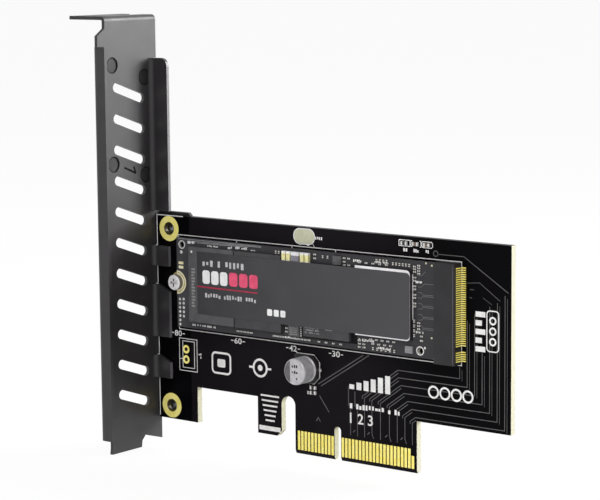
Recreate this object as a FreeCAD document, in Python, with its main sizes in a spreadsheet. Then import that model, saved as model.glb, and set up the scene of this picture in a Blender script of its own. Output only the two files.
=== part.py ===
"""NVMe adapter card: a printed board with a vented slot bracket and an M.2 drive.

Frame, in millimetres: X runs along the card, away from the bracket; the face
that carries the drive looks along -Y; +Z is up. The origin is the middle of
the key notch, on the bottom edge of the edge connector, halfway through the
board. Each sub-part is an object of this document and one file in parts/.
"""
import FreeCAD, Part
import Sketcher
import math
import os
from types import SimpleNamespace
from FreeCAD import Placement, Rotation, Vector

# ---------------------------------------------------------------- sizes
# Every driving dimension: its alias in the sheet, its value, what it is.
SIZES = [
    # adapter board
    ("board_thickness", 1.6, "laminate between its two faces"),
    ("board_left", 55.6, "key centre to the bracket end"),
    ("board_right", 47.9, "key centre to the free end"),
    ("board_top", 54.4, "top edge above the connector edge"),
    ("board_bottom", 12.2, "lower edge beyond the edge connector"),
    ("ear_width", 12.5, "lower ear beside the bracket"),
    ("ear_bottom", 3.5, "bottom of the ear and of the foot"),
    ("cutout_width", 19.05, "wide opening between ear and foot"),
    ("cutout_roof", 12.4, "roof of the wide opening"),
    ("foot_chamfer", 1.4, "cut corner of the foot"),
    ("retainer_gap", 4.15, "slot between foot and edge connector"),
    ("retainer_roof", 13.5, "crown of that slot"),
    ("key_width", 1.9, "key notch"),
    ("key_roof", 8.0, "crown of the key notch"),
    ("bevel_height", 0.9, "lead-in bevel along the connector edge"),
    ("bevel_depth", 0.35, "how far the bevel goes into each face"),
    # edge contacts
    ("contact_pitch", 1.0, "between neighbouring edge contacts"),
    ("contact_inner", 1.5, "key centre to the first contact"),
    ("contact_margin", 1.1, "last contact centre to the connector's side"),
    ("contacts_short", 11, "contacts between the slot and the key"),
    ("contacts_long", 21, "contacts beyond the key"),
    ("contact_width", 0.7, "one contact"),
    ("contact_foot", 1.0, "lower end of the contacts"),
    ("contact_crown", 5.6, "upper end of the contacts"),
    ("sense_drop", 1.6, "how much lower a presence contact starts"),
    ("plating", 0.05, "gold over copper, on either face"),
    # bracket screws through the board
    ("hole_inset", 4.05, "mounting hole from the bracket end"),
    ("hole_rise", 3.35, "mounting hole from the edge above or below it"),
    ("hole_diameter", 3.3, "drilled hole"),
    ("hole_land", 6.2, "plated ring round it"),
    # two-pin header footprint
    ("header_x", 9.0, "header holes from the bracket end"),
    ("header_z", 20.2, "middle of the header"),
    ("header_pitch", 2.54, "between its two holes"),
    ("header_drill", 1.1, "header hole"),
    ("header_land", 2.1, "plated ring round it"),
    # bracket
    ("sheet_thickness", 0.86, "steel of the bracket"),
    ("bracket_gap", 0.3, "bracket face to the end of the board"),
    ("bracket_width", 21.6, "widest part of the face"),
    ("bracket_edge", 0.25, "face edge beyond the board's middle plane"),
    ("neck_width", 18.1, "narrower top of the face"),
    ("neck_start", 100.4, "where the neck's side ends"),
    ("shoulder_top", 98.7, "where the slanted shoulder ends"),
    ("bracket_top", 103.3, "top of the screw tab"),
    ("tab_length", 11.4, "screw tab from the face"),
    ("tab_bend", 0.3, "inner bend radius of the screw tab"),
    ("notch_width", 4.42, "screw notch"),
    ("notch_inset", 4.1, "end of the notch from its open side"),
    ("notch_middle", 6.2, "notch from the face"),
    ("bend_radius", 1.2, "inner radius of the long bends"),
    ("stiffener_reach", 3.1, "left flange from the face"),
    ("stiffener_bend", 0.5, "inner bend radius of the left flange"),
    ("shoulder_inset", 0.95, "face beside the shoulder, inside its widest part"),
    ("stiffener_top", 96.2, "top of the left flange"),
    ("stiffener_bottom", 1.0, "foot of the left flange"),
    ("flange_reach", 5.1, "right flange from the face"),
    ("flange_top", 92.8, "top of the right flange"),
    ("flange_corner", 2.0, "rounded corner of the right flange"),
    ("flange_bottom", 55.4, "end of the right flange above the board"),
    ("finger_reach", 4.75, "fingers from the face"),
    ("finger_one_top", 46.7, "first finger"),
    ("finger_one_bottom", 41.7, "first finger"),
    ("finger_two_top", 37.1, "second finger at its root"),
    ("finger_two_bottom", 24.0, "second finger"),
    ("finger_three_top", 19.3, "third finger at its root"),
    ("finger_three_bottom", 13.7, "third finger"),
    ("finger_slope", 1.6, "how much the finger's top edge falls"),
    ("lug_reach", 10.4, "rear lug from the face"),
    ("lug_height", 8.0, "upper rear lug"),
    ("lug_low_height", 6.7, "lower rear lug"),
    ("lug_overlap", 0.7, "upper lug above the board"),
    ("lug_chamfer", 1.2, "cut corners of the lugs"),
    ("lug_thread", 2.5, "tapped hole in the lugs"),
    ("collar_diameter", 3.6, "drawn collar behind a tapped hole"),
    ("collar_length", 1.3, "drawn collar behind a tapped hole"),
    ("vent_count", 11, "slots in the face"),
    ("vent_pitch", 7.5, "between slots"),
    ("vent_first", 84.7, "middle of the top slot"),
    ("vent_middle", 9.75, "slots' middle from the board's middle plane"),
    ("vent_span", 9.2, "between the two end centres of a slot"),
    ("vent_width", 2.3, "slot width"),
    ("vent_slant", 19.0, "degrees that a slot falls towards the board"),
    ("mark_diameter", 3.8, "half-sheared round marks"),
    ("mark_spread", 11.8, "between the two marks of a pair"),
    ("mark_slant", 16.3, "degrees that a pair falls"),
    ("mark_upper", 89.9, "middle of the upper pair"),
    ("mark_lower", 66.1, "middle of the lower pair"),
    ("mark_depth", 0.25, "how far a mark is pushed out"),
    ("left_shoulder", 1.0, "foot of the face on the flange side"),
    ("right_shoulder", 0.9, "drop of the face's foot on the board side"),
    ("tongue_start", 3.6, "tongue from the flange side of the face"),
    ("tongue_width", 10.6, "tongue that enters the case"),
    ("tongue_fillet", 1.2, "root radius of the tongue"),
    ("tongue_bend", 1.55, "bend line of the tongue below the origin"),
    ("tongue_tip", 3.2, "end of the tongue below the origin"),
    ("tongue_kick", 0.2, "how far the tip leans outwards"),
    # M.2 connector
    ("connector_face", 29.3, "mouth of the connector from the key centre"),
    ("connector_length", 5.45, "mouth to back"),
    ("connector_height", 3.0, "above the board"),
    ("connector_width", 22.95, "along the mouth"),
    ("connector_middle", 38.15, "its middle above the origin"),
    ("slot_clearance", 0.05, "round the module in the connector"),
    ("connector_chamfer", 0.3, "top back edge"),
    ("roof_skin", 0.25, "housing over the contacts"),
    ("leg_pitch", 0.5, "between connector contacts"),
    ("legs_long", 36, "contacts above the key"),
    ("legs_short", 5, "contacts below the key"),
    ("leg_key", 1.5, "step over the key"),
    ("leg_top", 48.5, "first contact"),
    ("leg_width", 0.24, "one contact"),
    ("leg_groove", 0.32, "its groove in the housing"),
    ("leg_leaf", 0.12, "spring strip"),
    ("tip_clearance", 0.01, "bent tip off the module's gold"),
    ("leg_exit", 1.95, "where a leg leaves the back, above the board"),
    ("leg_sill", 0.35, "groove below that point"),
    ("leg_lintel", 0.3, "groove above that point"),
    ("leg_drop", 1.2, "how far inside the back a contact turns down"),
    ("groove_start", 0.4, "grooves behind the connector's mouth"),
    ("floor_skin", 0.24, "housing under the lower contacts"),
    ("leg_foot", 1.05, "soldered foot beyond the back"),
    ("peg_diameter", 1.1, "locating pegs of the connector"),
    ("peg_inset", 1.6, "pegs from the ends of the connector"),
    ("peg_length", 1.2, "pegs below the housing"),
    # drive module
    ("module_length", 80.0, "drive module"),
    ("module_width", 22.0, "drive module"),
    ("module_thickness", 0.8, "its board"),
    ("module_lift", 1.5, "under the module"),
    ("module_bottom", 27.45, "lower edge above the origin"),
    ("module_seat", 3.5, "how deep it sits in the connector"),
    ("finger_length", 4.1, "narrower end of the module"),
    ("finger_width", 21.2, "narrower end of the module"),
    ("module_key", 0.8, "key notch of the module"),
    ("module_key_depth", 3.4, "key notch of the module"),
    ("gold_width", 0.35, "one module contact"),
    ("gold_length", 2.4, "one module contact"),
    ("gold_thickness", 0.03, "module contacts and end ring"),
    ("half_hole", 3.5, "half hole at the module's end"),
    ("half_ring", 5.8, "gold ring round the half hole"),
    ("tool_hole", 1.6, "small holes through the module"),
    ("tool_hole_x", 1.5, "upper tool hole from the module's end"),
    ("tool_hole_drop", 1.7, "upper tool hole below the top edge"),
    ("key_hole_x", 3.95, "lower tool hole from the connector"),
    ("key_hole_rise", 1.45, "lower tool hole above the lower edge"),
    # pieces on the module
    ("chip_height", 1.0, "memory packages"),
    ("memory_width", 14.0, "one flash memory package"),
    ("memory_tall", 18.4, "one flash memory package"),
    ("memory_inset", 4.6, "first package from the module's end"),
    ("memory_gap", 0.45, "between the two packages"),
    ("memory_rise", 1.8, "packages above the module's lower edge"),
    ("buffer_width", 10.0, "buffer memory package"),
    ("buffer_tall", 15.0, "buffer memory package"),
    ("buffer_gap", 9.95, "flash memory to buffer memory"),
    ("control_width", 15.35, "controller package"),
    ("control_tall", 16.1, "controller package"),
    ("control_gap", 1.9, "buffer memory to controller"),
    ("control_rise", 3.7, "controller above the module's lower edge"),
    ("control_base", 0.3, "its green substrate"),
    ("control_corner", 1.0, "rounded corners of its metal lid"),
    ("label_left", 7.4, "label from the module's end"),
    ("label_margin", 0.05, "label inside the controller's right side"),
    ("label_tall", 15.2, "label"),
    ("label_rise", 4.0, "label above the module's lower edge"),
    ("label_thickness", 0.1, "label"),
    ("label_corner", 1.0, "rounded corners of the label"),
    ("tall_height", 0.85, "tall capacitors"),
    ("tall_length", 2.5, "tall capacitors"),
    ("tall_width", 1.0, "tall capacitors"),
    ("tall_drop", 0.65, "tall capacitors below the top edge"),
    ("tall_gap", 0.4, "between the power parts"),
    ("tall_start", 0.35, "flash memory to the first tall capacitor"),
    ("coil_width", 2.25, "power inductor"),
    ("coil_length", 2.3, "power inductor"),
    ("coil_height", 0.9, "power inductor"),
    ("regulator_width", 2.4, "power regulator"),
    ("regulator_length", 2.0, "power regulator"),
    ("regulator_height", 0.6, "power regulator"),
    ("regulator_shift", 5.2, "buffer memory's left side to the power regulator"),
    ("power_width", 3.0, "power management chip"),
    ("power_length", 3.6, "power management chip"),
    ("power_height", 0.75, "power management chip"),
    ("power_gap", 2.15, "flash memory to power management chip"),
    ("power_rise", 1.4, "power management chip above the lower edge"),
    ("clock_width", 2.0, "oscillator"),
    ("clock_length", 1.6, "oscillator"),
    ("clock_height", 0.5, "oscillator"),
    ("clock_shift", 1.75, "oscillator back from the controller's right side"),
    ("clock_rise", 0.85, "oscillator above the lower edge"),
    ("tiny_length", 0.6, "smallest parts"),
    ("tiny_width", 0.32, "smallest parts"),
    ("tiny_height", 0.3, "smallest parts"),
    # standoff and screw
    ("spacer_diameter", 5.0, "standoff under the module"),
    ("spacer_boss", 3.4, "standoff inside the half hole"),
    ("spacer_spigot", 3.4, "standoff inside the board"),
    ("spacer_hole", 3.5, "hole in the board for it"),
    ("spacer_land", 5.6, "plated ring of the unused holes"),
    ("spigot_length", 1.4, "standoff inside the board"),
    ("screw_diameter", 1.9, "shank of the module screw"),
    ("screw_bore", 2.0, "threaded bore of the standoff"),
    ("screw_length", 2.6, "shank of the module screw"),
    ("screw_head", 3.8, "its head"),
    ("screw_head_height", 1.3, "its head"),
    ("screw_dome", 0.3, "rounded rim of its head"),
    ("recess_span", 2.0, "cross recess"),
    ("recess_width", 0.5, "cross recess"),
    ("recess_depth", 0.45, "cross recess"),
    # spare standoff positions, as lengths of shorter modules
    ("length_sixty", 60.0, "spare module length"),
    ("length_fortytwo", 42.0, "spare module length"),
    ("length_thirty", 30.0, "spare module length"),
    # smoothing capacitor
    ("can_x", 8.6, "capacitor to the left of the key centre"),
    ("can_z", 20.9, "capacitor above the origin"),
    ("can_diameter", 6.3, "aluminium can"),
    ("can_top", 5.4, "top of the can above the board"),
    ("can_seat", 0.5, "bottom of the can above the board"),
    ("can_rim", 0.45, "rounded top edge"),
    ("can_groove", 1.55, "crimp above the board"),
    ("can_groove_width", 0.7, "crimp"),
    ("can_groove_depth", 0.3, "crimp"),
    ("base_size", 6.6, "square plastic base"),
    ("base_wall", 1.1, "corner posts of the base"),
    ("base_chamfer", 1.4, "two cut corners"),
    ("base_clearance", 0.03, "round the can"),
    ("lead_width", 0.7, "soldered leads"),
    ("lead_thickness", 0.15, "soldered leads"),
    ("lead_inner", 1.0, "leads from the can's axis"),
    ("lead_outer", 3.9, "leads from the can's axis"),
    # small parts on the adapter board
    ("chip_length", 1.6, "resistors and small capacitors"),
    ("chip_width", 0.8, "resistors and small capacitors"),
    ("chip_thick", 0.45, "resistors and small capacitors"),
    ("row_x", 19.3, "first part of the top row from the key centre"),
    ("row_step", 3.1, "between parts of the top row"),
    ("row_drop", 1.55, "top row below the top edge"),
    ("pair_x", 7.0, "pair under the can, left of the key centre"),
    ("pair_z", 15.9, "middle of the pair"),
    ("pair_step", 1.2, "between the two of the pair"),
]

NODE_FOLDER = "parts"
THROUGH = 2         # a cut runs this many thicknesses to be sure to pass through

doc = FreeCAD.newDocument("AdapterCard")
sheet = doc.addObject("Spreadsheet::Sheet", "Sizes")
pieces = []


class Size:
    """A length known as a number and as the sheet formula that drives it."""

    def __init__(self, number, formula):
        self.number = number
        self.formula = formula

    def joined(self, other, symbol, number):
        return Size(number, f"({self.formula} {symbol} {as_size(other).formula})")

    def __add__(self, other):
        return self.joined(other, "+", self.number + as_size(other).number)

    def __radd__(self, other):
        return as_size(other) + self

    def __sub__(self, other):
        return self.joined(other, "-", self.number - as_size(other).number)

    def __rsub__(self, other):
        return as_size(other) - self

    def __mul__(self, other):
        return self.joined(other, "*", self.number * as_size(other).number)

    def __rmul__(self, other):
        return as_size(other) * self

    def __truediv__(self, other):
        return self.joined(other, "/", self.number / as_size(other).number)

    def __neg__(self):
        return as_size(0) - self


def as_size(value):
    """A plain number as a Size; a Size stays as it is."""
    return value if isinstance(value, Size) else Size(float(value), f"({float(value)})")


def cosine(angle):
    return Size(math.cos(math.radians(angle.number)), f"cos({angle.formula} * 1 deg)")


def sine(angle):
    return Size(math.sin(math.radians(angle.number)), f"sin({angle.formula} * 1 deg)")


def fill_sheet():
    """Write the driving dimensions and return them as named Size values."""
    values = {}
    for row, (alias, number, note) in enumerate(SIZES, start=1):
        sheet.set(f"A{row}", str(number))
        sheet.setAlias(f"A{row}", alias)
        sheet.set(f"B{row}", note)
        values[alias] = Size(float(number), f"Sizes.{alias}")
    doc.recompute()
    return SimpleNamespace(**values)


s = fill_sheet()

# ---------------------------------------------------------------- shared places
BOARD_FRONT = -s.board_thickness / 2
BOARD_BACK = s.board_thickness / 2
BOARD_END = -s.board_left
EAR_RIGHT = BOARD_END + s.ear_width
FOOT_LEFT = EAR_RIGHT + s.cutout_width
CONNECTOR_LEFT = -(s.contact_inner + (s.contacts_short - 1) * s.contact_pitch + s.contact_margin)
CONNECTOR_RIGHT = s.contact_inner + (s.contacts_long - 1) * s.contact_pitch + s.contact_margin
FOOT_RIGHT = CONNECTOR_LEFT - s.retainer_gap
HOLE_X = BOARD_END + s.hole_inset
HOLE_UPPER = s.board_top - s.hole_rise
HOLE_LOWER = s.ear_bottom + s.hole_rise
HEADER_X = BOARD_END + s.header_x

FACE_INNER = BOARD_END - s.bracket_gap
FACE_OUTER = FACE_INNER - s.sheet_thickness
FACE_RIGHT = s.bracket_edge
FACE_LEFT = FACE_RIGHT - s.bracket_width
NECK_LEFT = FACE_RIGHT - s.neck_width
OUTER_BEND = s.bend_radius + s.sheet_thickness
STIFFENER_LINE = FACE_LEFT + s.stiffener_bend + s.sheet_thickness
LUG_FRONT = BOARD_BACK + s.plating
LUG_BACK = LUG_FRONT + s.sheet_thickness
LUG_BEND = s.bracket_gap
LUG_OUTER_BEND = LUG_BEND + s.sheet_thickness
LUG_UPPER_TOP = s.board_top + s.lug_overlap
LUG_UPPER_FOOT = LUG_UPPER_TOP - s.lug_height
LUG_LOWER_FOOT = s.ear_bottom + s.plating
LUG_LOWER_TOP = LUG_LOWER_FOOT + s.lug_low_height
TAB_BEND = s.tab_bend + s.sheet_thickness
TONGUE_LEFT = FACE_LEFT + s.tongue_start
TONGUE_RIGHT = TONGUE_LEFT + s.tongue_width

MODULE_BACK = BOARD_FRONT - s.module_lift
MODULE_FRONT = MODULE_BACK - s.module_thickness
MODULE_RIGHT = s.connector_face + s.module_seat
MODULE_LEFT = MODULE_RIGHT - s.module_length
MODULE_TOP = s.module_bottom + s.module_width
MODULE_MIDDLE = s.module_bottom + s.module_width / 2
CHIP_FRONT = MODULE_FRONT - s.chip_height
MEMORY_LEFT = MODULE_LEFT + s.memory_inset
MEMORY_RIGHT = MEMORY_LEFT + s.memory_width * 2 + s.memory_gap
BUFFER_LEFT = MEMORY_RIGHT + s.buffer_gap
CONTROL_LEFT = BUFFER_LEFT + s.buffer_width + s.control_gap
CONTROL_RIGHT = CONTROL_LEFT + s.control_width

HOUSING_BACK = s.connector_face + s.connector_length
HOUSING_FRONT = BOARD_FRONT - s.connector_height
HOUSING_BOTTOM = s.connector_middle - s.connector_width / 2
HOUSING_TOP = s.connector_middle + s.connector_width / 2
SLOT_END = MODULE_RIGHT + s.slot_clearance
ROOF_INSIDE = HOUSING_FRONT + s.roof_skin
GROOVE_SILL = BOARD_FRONT - s.leg_exit + s.leg_sill
GROOVE_LINTEL = BOARD_FRONT - s.leg_exit - s.leg_lintel
GROOVE_FLOOR = BOARD_FRONT - s.floor_skin
PEG_X = (s.connector_face + HOUSING_BACK) / 2
CAN_X = -s.can_x


# ---------------------------------------------------------------- modelling helpers
def bind(thing, **formulas):
    """Drive properties from the sheet; a double underscore stands for a dot."""
    for path, size in formulas.items():
        thing.setExpression(path.replace("__", "."), as_size(size).formula)


def keep(thing, name):
    """Name a finished sub-part and list it for export."""
    thing.Label = name
    pieces.append(thing)
    return thing


def new_body(name):
    return keep(doc.addObject("PartDesign::Body", name), name)


def plane_sketch(body, name, plane, level, shift_x=0, shift_y=0):
    """An empty sketch parallel to an origin plane, at a level along its axis."""
    sketch = body.newObject("Sketcher::SketchObject", name)
    origin = next(item for item in body.Origin.OriginFeatures if item.Role == plane + "_Plane")
    sketch.AttachmentSupport = [(origin, "")]
    sketch.MapMode = "FlatFace"
    height = -as_size(level) if plane == "XZ" else as_size(level)
    bind(sketch, AttachmentOffset__Base__x=shift_x, AttachmentOffset__Base__y=shift_y,
         AttachmentOffset__Base__z=height)
    return sketch


def arc_between(start, end, centre, clockwise):
    """The arc from start to end about centre, and which of its ends is the start."""
    radius = start.sub(centre).Length
    first, last = (end, start) if clockwise else (start, end)
    angles = [math.atan2(point.y - centre.y, point.x - centre.x) for point in (first, last)]
    if angles[1] <= angles[0]:
        angles[1] += 2 * math.pi
    circle = Part.Circle(centre, Vector(0, 0, 1), radius)
    return Part.ArcOfCircle(circle, *angles), (2, 1) if clockwise else (1, 2)


def pin_point(sketch, geometry, end, place, axes="XY"):
    """Tie one point of a sketch to its place, measured from the sketch's origin."""
    for axis, size in zip("XY", place):
        if axis in axes:
            index = sketch.addConstraint(
                Sketcher.Constraint("Distance" + axis, -1, 1, geometry, end, size.number))
            sketch.setExpression(f"Constraints[{index}]", size.formula)


def draw_outline(sketch, path):
    """Close a profile through (x, y) points.

    A point may carry a third item, (centre_x, centre_y, clockwise): the way from
    it to the next point is then an arc about that centre.
    """
    path = [tuple(map(as_size, step[:2])) + tuple(step[2:]) for step in path]
    flat = [Vector(step[0].number, step[1].number, 0) for step in path]
    ends = []
    for index, step in enumerate(path):
        start, end = flat[index], flat[(index + 1) % len(path)]
        if len(step) == 2:
            sketch.addGeometry(Part.LineSegment(start, end), False)
            ends.append((1, 2))
            continue
        centre = tuple(map(as_size, step[2][:2]))
        arc, order = arc_between(start, end, Vector(centre[0].number, centre[1].number, 0),
                                 step[2][2])
        sketch.addGeometry(arc, False)
        ends.append(order)
        level_chord = abs(start.y - end.y) < abs(start.x - end.x)
        pin_point(sketch, index, 3, centre, "Y" if level_chord else "X")
    for index, step in enumerate(path):
        following = (index + 1) % len(path)
        sketch.addConstraint(Sketcher.Constraint(
            "Coincident", index, ends[index][1], following, ends[following][0]))
        pin_point(sketch, index, ends[index][0], step[:2])


def draw_circles(sketch, circles):
    """Whole circles given as (x, y, diameter)."""
    for index, (x, y, diameter) in enumerate(circles):
        x, y, radius = as_size(x), as_size(y), as_size(diameter) / 2
        sketch.addGeometry(
            Part.Circle(Vector(x.number, y.number, 0), Vector(0, 0, 1), radius.number), False)
        pin_point(sketch, index, 3, (x, y))
        limit = sketch.addConstraint(Sketcher.Constraint("Radius", index, radius.number))
        sketch.setExpression(f"Constraints[{limit}]", radius.formula)


def feature(body, kind, name, sketch, depth):
    made = body.newObject("PartDesign::" + kind, name)
    made.Profile = sketch
    made.Refine = True
    bind(made, Length=depth)
    sketch.Visibility = False
    body.Tip = made
    return made


def pad(body, name, plane, start, depth, path):
    """Material from start to start + depth along the plane's axis."""
    level = start + depth if plane == "XZ" else start
    sketch = plane_sketch(body, name + "_sketch", plane, level)
    draw_outline(sketch, path)
    return feature(body, "Pad", name, sketch, depth)


def pocket(body, name, plane, start, depth, path=(), circles=()):
    """A cut from start to start + depth along the plane's axis."""
    level = start if plane == "XZ" else start + depth
    sketch = plane_sketch(body, name + "_sketch", plane, level)
    if path:
        draw_outline(sketch, path)
    draw_circles(sketch, circles)
    return feature(body, "Pocket", name, sketch, depth)


def through_board(body, name, circles):
    """Round holes through the whole board."""
    return pocket(body, name, "XZ", BOARD_FRONT * THROUGH, s.board_thickness * THROUGH,
                  circles=circles)


def rectangle(left, bottom, right, top):
    return [(left, bottom), (right, bottom), (right, top), (left, top)]


def rounded_right(left, bottom, right, top, radius):
    """A rectangle whose two right-hand corners are rounded."""
    return [(left, bottom), (right - radius, bottom, (right - radius, bottom + radius, False)),
            (right, bottom + radius),
            (right, top - radius, (right - radius, top - radius, False)),
            (right - radius, top), (left, top)]


def repeat(body, name, original, axis, step, count):
    """Copies of a feature along an axis of its body, at a negative step."""
    pattern = body.newObject("PartDesign::LinearPattern", name)
    pattern.Originals = [original]
    line = next(item for item in body.Origin.OriginFeatures if item.Role == axis + "_Axis")
    pattern.Direction = (line, [""])
    pattern.Reversed = True
    bind(pattern, Length=step * (count - 1), Occurrences=count)
    pattern.Refine = True
    body.Tip = pattern
    return pattern


def turned(name, x, z, profile):
    """A body turned about an axis along Y through (x, z); profile in (radius, y)."""
    body = new_body(name)
    sketch = plane_sketch(body, name + "_sketch", "XY", z, shift_x=x)
    draw_outline(sketch, profile)
    solid = body.newObject("PartDesign::Revolution", name + "_turning")
    solid.Profile = sketch
    solid.ReferenceAxis = (sketch, ["V_Axis"])
    solid.Angle = 360
    body.Tip = solid
    return body


def block(name, low, size):
    """A rectangular block from its low corner, bound to the sheet."""
    box = doc.addObject("Part::Box", name)
    bind(box, Length=size[0], Width=size[1], Height=size[2], Placement__Base__x=low[0],
         Placement__Base__y=low[1], Placement__Base__z=low[2])
    return box


def group(name, members):
    """Several like solids as one sub-part."""
    compound = doc.addObject("Part::Compound", name)
    compound.Links = members
    return keep(compound, name)


def solid_piece(name, shapes):
    """A sub-part whose solids are worked out in code."""
    made = doc.addObject("Part::Feature", name)
    made.Shape = Part.Compound(shapes)
    return keep(made, name)


def eyelet(x, z, hole, land):
    """Plated hole: a barrel with a flat ring on either face of the board."""
    outer, bore = land.number / 2, hole.number / 2
    skin, back = s.plating.number, BOARD_BACK.number
    profile = [(bore - skin, back + skin), (outer, back + skin), (outer, back), (bore, back),
               (bore, -back), (outer, -back), (outer, -back - skin), (bore - skin, -back - skin)]
    corners = [Vector(x.number + radius, y, z.number) for radius, y in profile]
    face = Part.Face(Part.makePolygon(corners + corners[:1]))
    return face.revolve(Vector(x.number, 0, z.number), Vector(0, 1, 0), 360)


def strip(path, leaf, z, width):
    """A bent strip of even thickness that follows a path in the XY plane."""
    normals = [Vector(end.y - start.y, start.x - end.x, 0).normalize()
               for start, end in zip(path, path[1:])]
    sides = []
    for index, point in enumerate(path):
        before = normals[max(index - 1, 0)]
        after = normals[min(index, len(normals) - 1)]
        mitre = before.add(after).normalize()
        reach = leaf / 2 / mitre.dot(after)
        sides.append((point.add(mitre * reach), point.sub(mitre * reach)))
    ring = [side[0] for side in sides] + [side[1] for side in reversed(sides)]
    face = Part.Face(Part.makePolygon(ring + ring[:1]))
    face.translate(Vector(0, 0, z - width / 2))
    return face.extrude(Vector(0, 0, width))


def count_of(size):
    return int(round(size.number))


# ---------------------------------------------------------------- adapter board
def board_outline():
    """The board's edge, anticlockwise from the foot of the ear."""
    slot_radius = s.retainer_gap / 2
    key_radius = s.key_width / 2
    slot_middle = FOOT_RIGHT + slot_radius
    return [
        (BOARD_END, s.ear_bottom), (EAR_RIGHT, s.ear_bottom),
        (EAR_RIGHT, s.cutout_roof), (FOOT_LEFT, s.cutout_roof),
        (FOOT_LEFT, s.ear_bottom), (FOOT_RIGHT - s.foot_chamfer, s.ear_bottom),
        (FOOT_RIGHT, s.ear_bottom + s.foot_chamfer),
        (FOOT_RIGHT, s.retainer_roof - slot_radius,
         (slot_middle, s.retainer_roof - slot_radius, True)),
        (CONNECTOR_LEFT, s.retainer_roof - slot_radius),
        (CONNECTOR_LEFT, 0), (-key_radius, 0),
        (-key_radius, s.key_roof - key_radius, (0, s.key_roof - key_radius, True)),
        (key_radius, s.key_roof - key_radius),
        (key_radius, 0), (CONNECTOR_RIGHT, 0), (CONNECTOR_RIGHT, s.board_bottom),
        (s.board_right, s.board_bottom), (s.board_right, s.board_top),
        (BOARD_END, s.board_top),
    ]


def spacer_places():
    """Standoff holes: the used one at full length, then the spare lengths."""
    lengths = (s.module_length, s.length_sixty, s.length_fortytwo, s.length_thirty)
    return [MODULE_RIGHT - length for length in lengths]


def header_places():
    return [s.header_z + s.header_pitch / 2, s.header_z - s.header_pitch / 2]


def peg_places():
    return [HOUSING_BOTTOM + s.peg_inset, HOUSING_TOP - s.peg_inset]


def make_board():
    body = new_body("adapter_board")
    pad(body, "laminate", "XZ", BOARD_FRONT, s.board_thickness, board_outline())
    through_board(body, "bracket_holes",
                  [(HOLE_X, z, s.hole_diameter) for z in (HOLE_UPPER, HOLE_LOWER)])
    through_board(body, "header_holes",
                  [(HEADER_X, z, s.header_drill) for z in header_places()])
    through_board(body, "spacer_holes",
                  [(x, MODULE_MIDDLE, s.spacer_hole) for x in spacer_places()])
    through_board(body, "peg_holes",
                  [(PEG_X, z, s.peg_diameter + 2 * s.slot_clearance) for z in peg_places()])
    margin = s.bevel_depth
    for name, face, inward in (("front_bevel", BOARD_FRONT, 1), ("back_bevel", BOARD_BACK, -1)):
        wedge = [(face, 0), (face + inward * s.bevel_depth, 0), (face, s.bevel_height)]
        pocket(body, name, "YZ", CONNECTOR_LEFT - margin,
               CONNECTOR_RIGHT - CONNECTOR_LEFT + 2 * margin, path=wedge)


def make_platings():
    solid_piece("mounting_hole_plating",
                [eyelet(HOLE_X, z, s.hole_diameter, s.hole_land) for z in (HOLE_UPPER, HOLE_LOWER)])
    solid_piece("header_hole_plating",
                [eyelet(HEADER_X, z, s.header_drill, s.header_land) for z in header_places()])
    solid_piece("spare_hole_plating",
                [eyelet(x, MODULE_MIDDLE, s.spacer_hole, s.spacer_land)
                 for x in spacer_places()[1:]])


def contact_places():
    """Centres of the edge contacts, from the bracket side to the free side."""
    short = [-s.contact_inner.number - index * s.contact_pitch.number
             for index in range(count_of(s.contacts_short))]
    long = [s.contact_inner.number + index * s.contact_pitch.number
            for index in range(count_of(s.contacts_long))]
    return short[::-1] + long


def make_edge_contacts():
    """Gold fingers on both faces; the presence contacts at the ends start lower."""
    places = contact_places()
    for name, low in (("edge_contacts_front", BOARD_FRONT - s.plating),
                      ("edge_contacts_back", BOARD_BACK)):
        sensing = (places[0], places[-1]) if name.endswith("back") else (places[-1],)
        fingers = []
        for x in places:
            crown = s.contact_crown.number - (s.sense_drop.number if x in sensing else 0)
            corner = Vector(x - s.contact_width.number / 2, low.number, s.contact_foot.number)
            fingers.append(Part.makeBox(s.contact_width.number, s.plating.number,
                                        crown - s.contact_foot.number, corner))
        solid_piece(name, fingers)


# ---------------------------------------------------------------- bracket
def face_outline():
    """The flat of the folded bracket in (y, z), clockwise from the top left.

    On the board's side the flat stops where a bend starts, and runs out to the
    face's own edge between the folded pieces.
    """
    flange_line = BOARD_FRONT - OUTER_BEND
    lug_line = LUG_BACK - LUG_OUTER_BEND
    shoulder = FACE_LEFT + s.shoulder_inset
    top = s.bracket_top - TAB_BEND
    points = [(NECK_LEFT, top), (FACE_RIGHT, top)]
    folded = [
        (s.flange_top, s.flange_bottom, flange_line),
        (LUG_UPPER_TOP, LUG_UPPER_FOOT, lug_line),
        (s.finger_one_top, s.finger_one_bottom, flange_line),
        (s.finger_two_top, s.finger_two_bottom, flange_line),
        (s.finger_three_top, s.finger_three_bottom, flange_line),
        (LUG_LOWER_TOP, LUG_LOWER_FOOT, lug_line),
    ]
    for high, low, line in folded:
        points += [(FACE_RIGHT, high), (line, high), (line, low), (FACE_RIGHT, low)]
    foot = -s.right_shoulder
    fillet = s.tongue_fillet
    points += [
        (FACE_RIGHT, foot - fillet),
        (TONGUE_RIGHT + fillet, foot + fillet / 2),
        (TONGUE_RIGHT, foot - fillet / 2),
        (TONGUE_RIGHT, -s.tongue_bend), (TONGUE_LEFT, -s.tongue_bend),
        (TONGUE_LEFT, s.left_shoulder - fillet,
         (TONGUE_LEFT - fillet, s.left_shoulder - fillet, False)),
        (TONGUE_LEFT - fillet, s.left_shoulder),
        (STIFFENER_LINE, s.left_shoulder), (STIFFENER_LINE, s.stiffener_top),
        (shoulder, s.stiffener_top), (shoulder, s.shoulder_top),
        (NECK_LEFT, s.neck_start),
    ]
    return points


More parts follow.
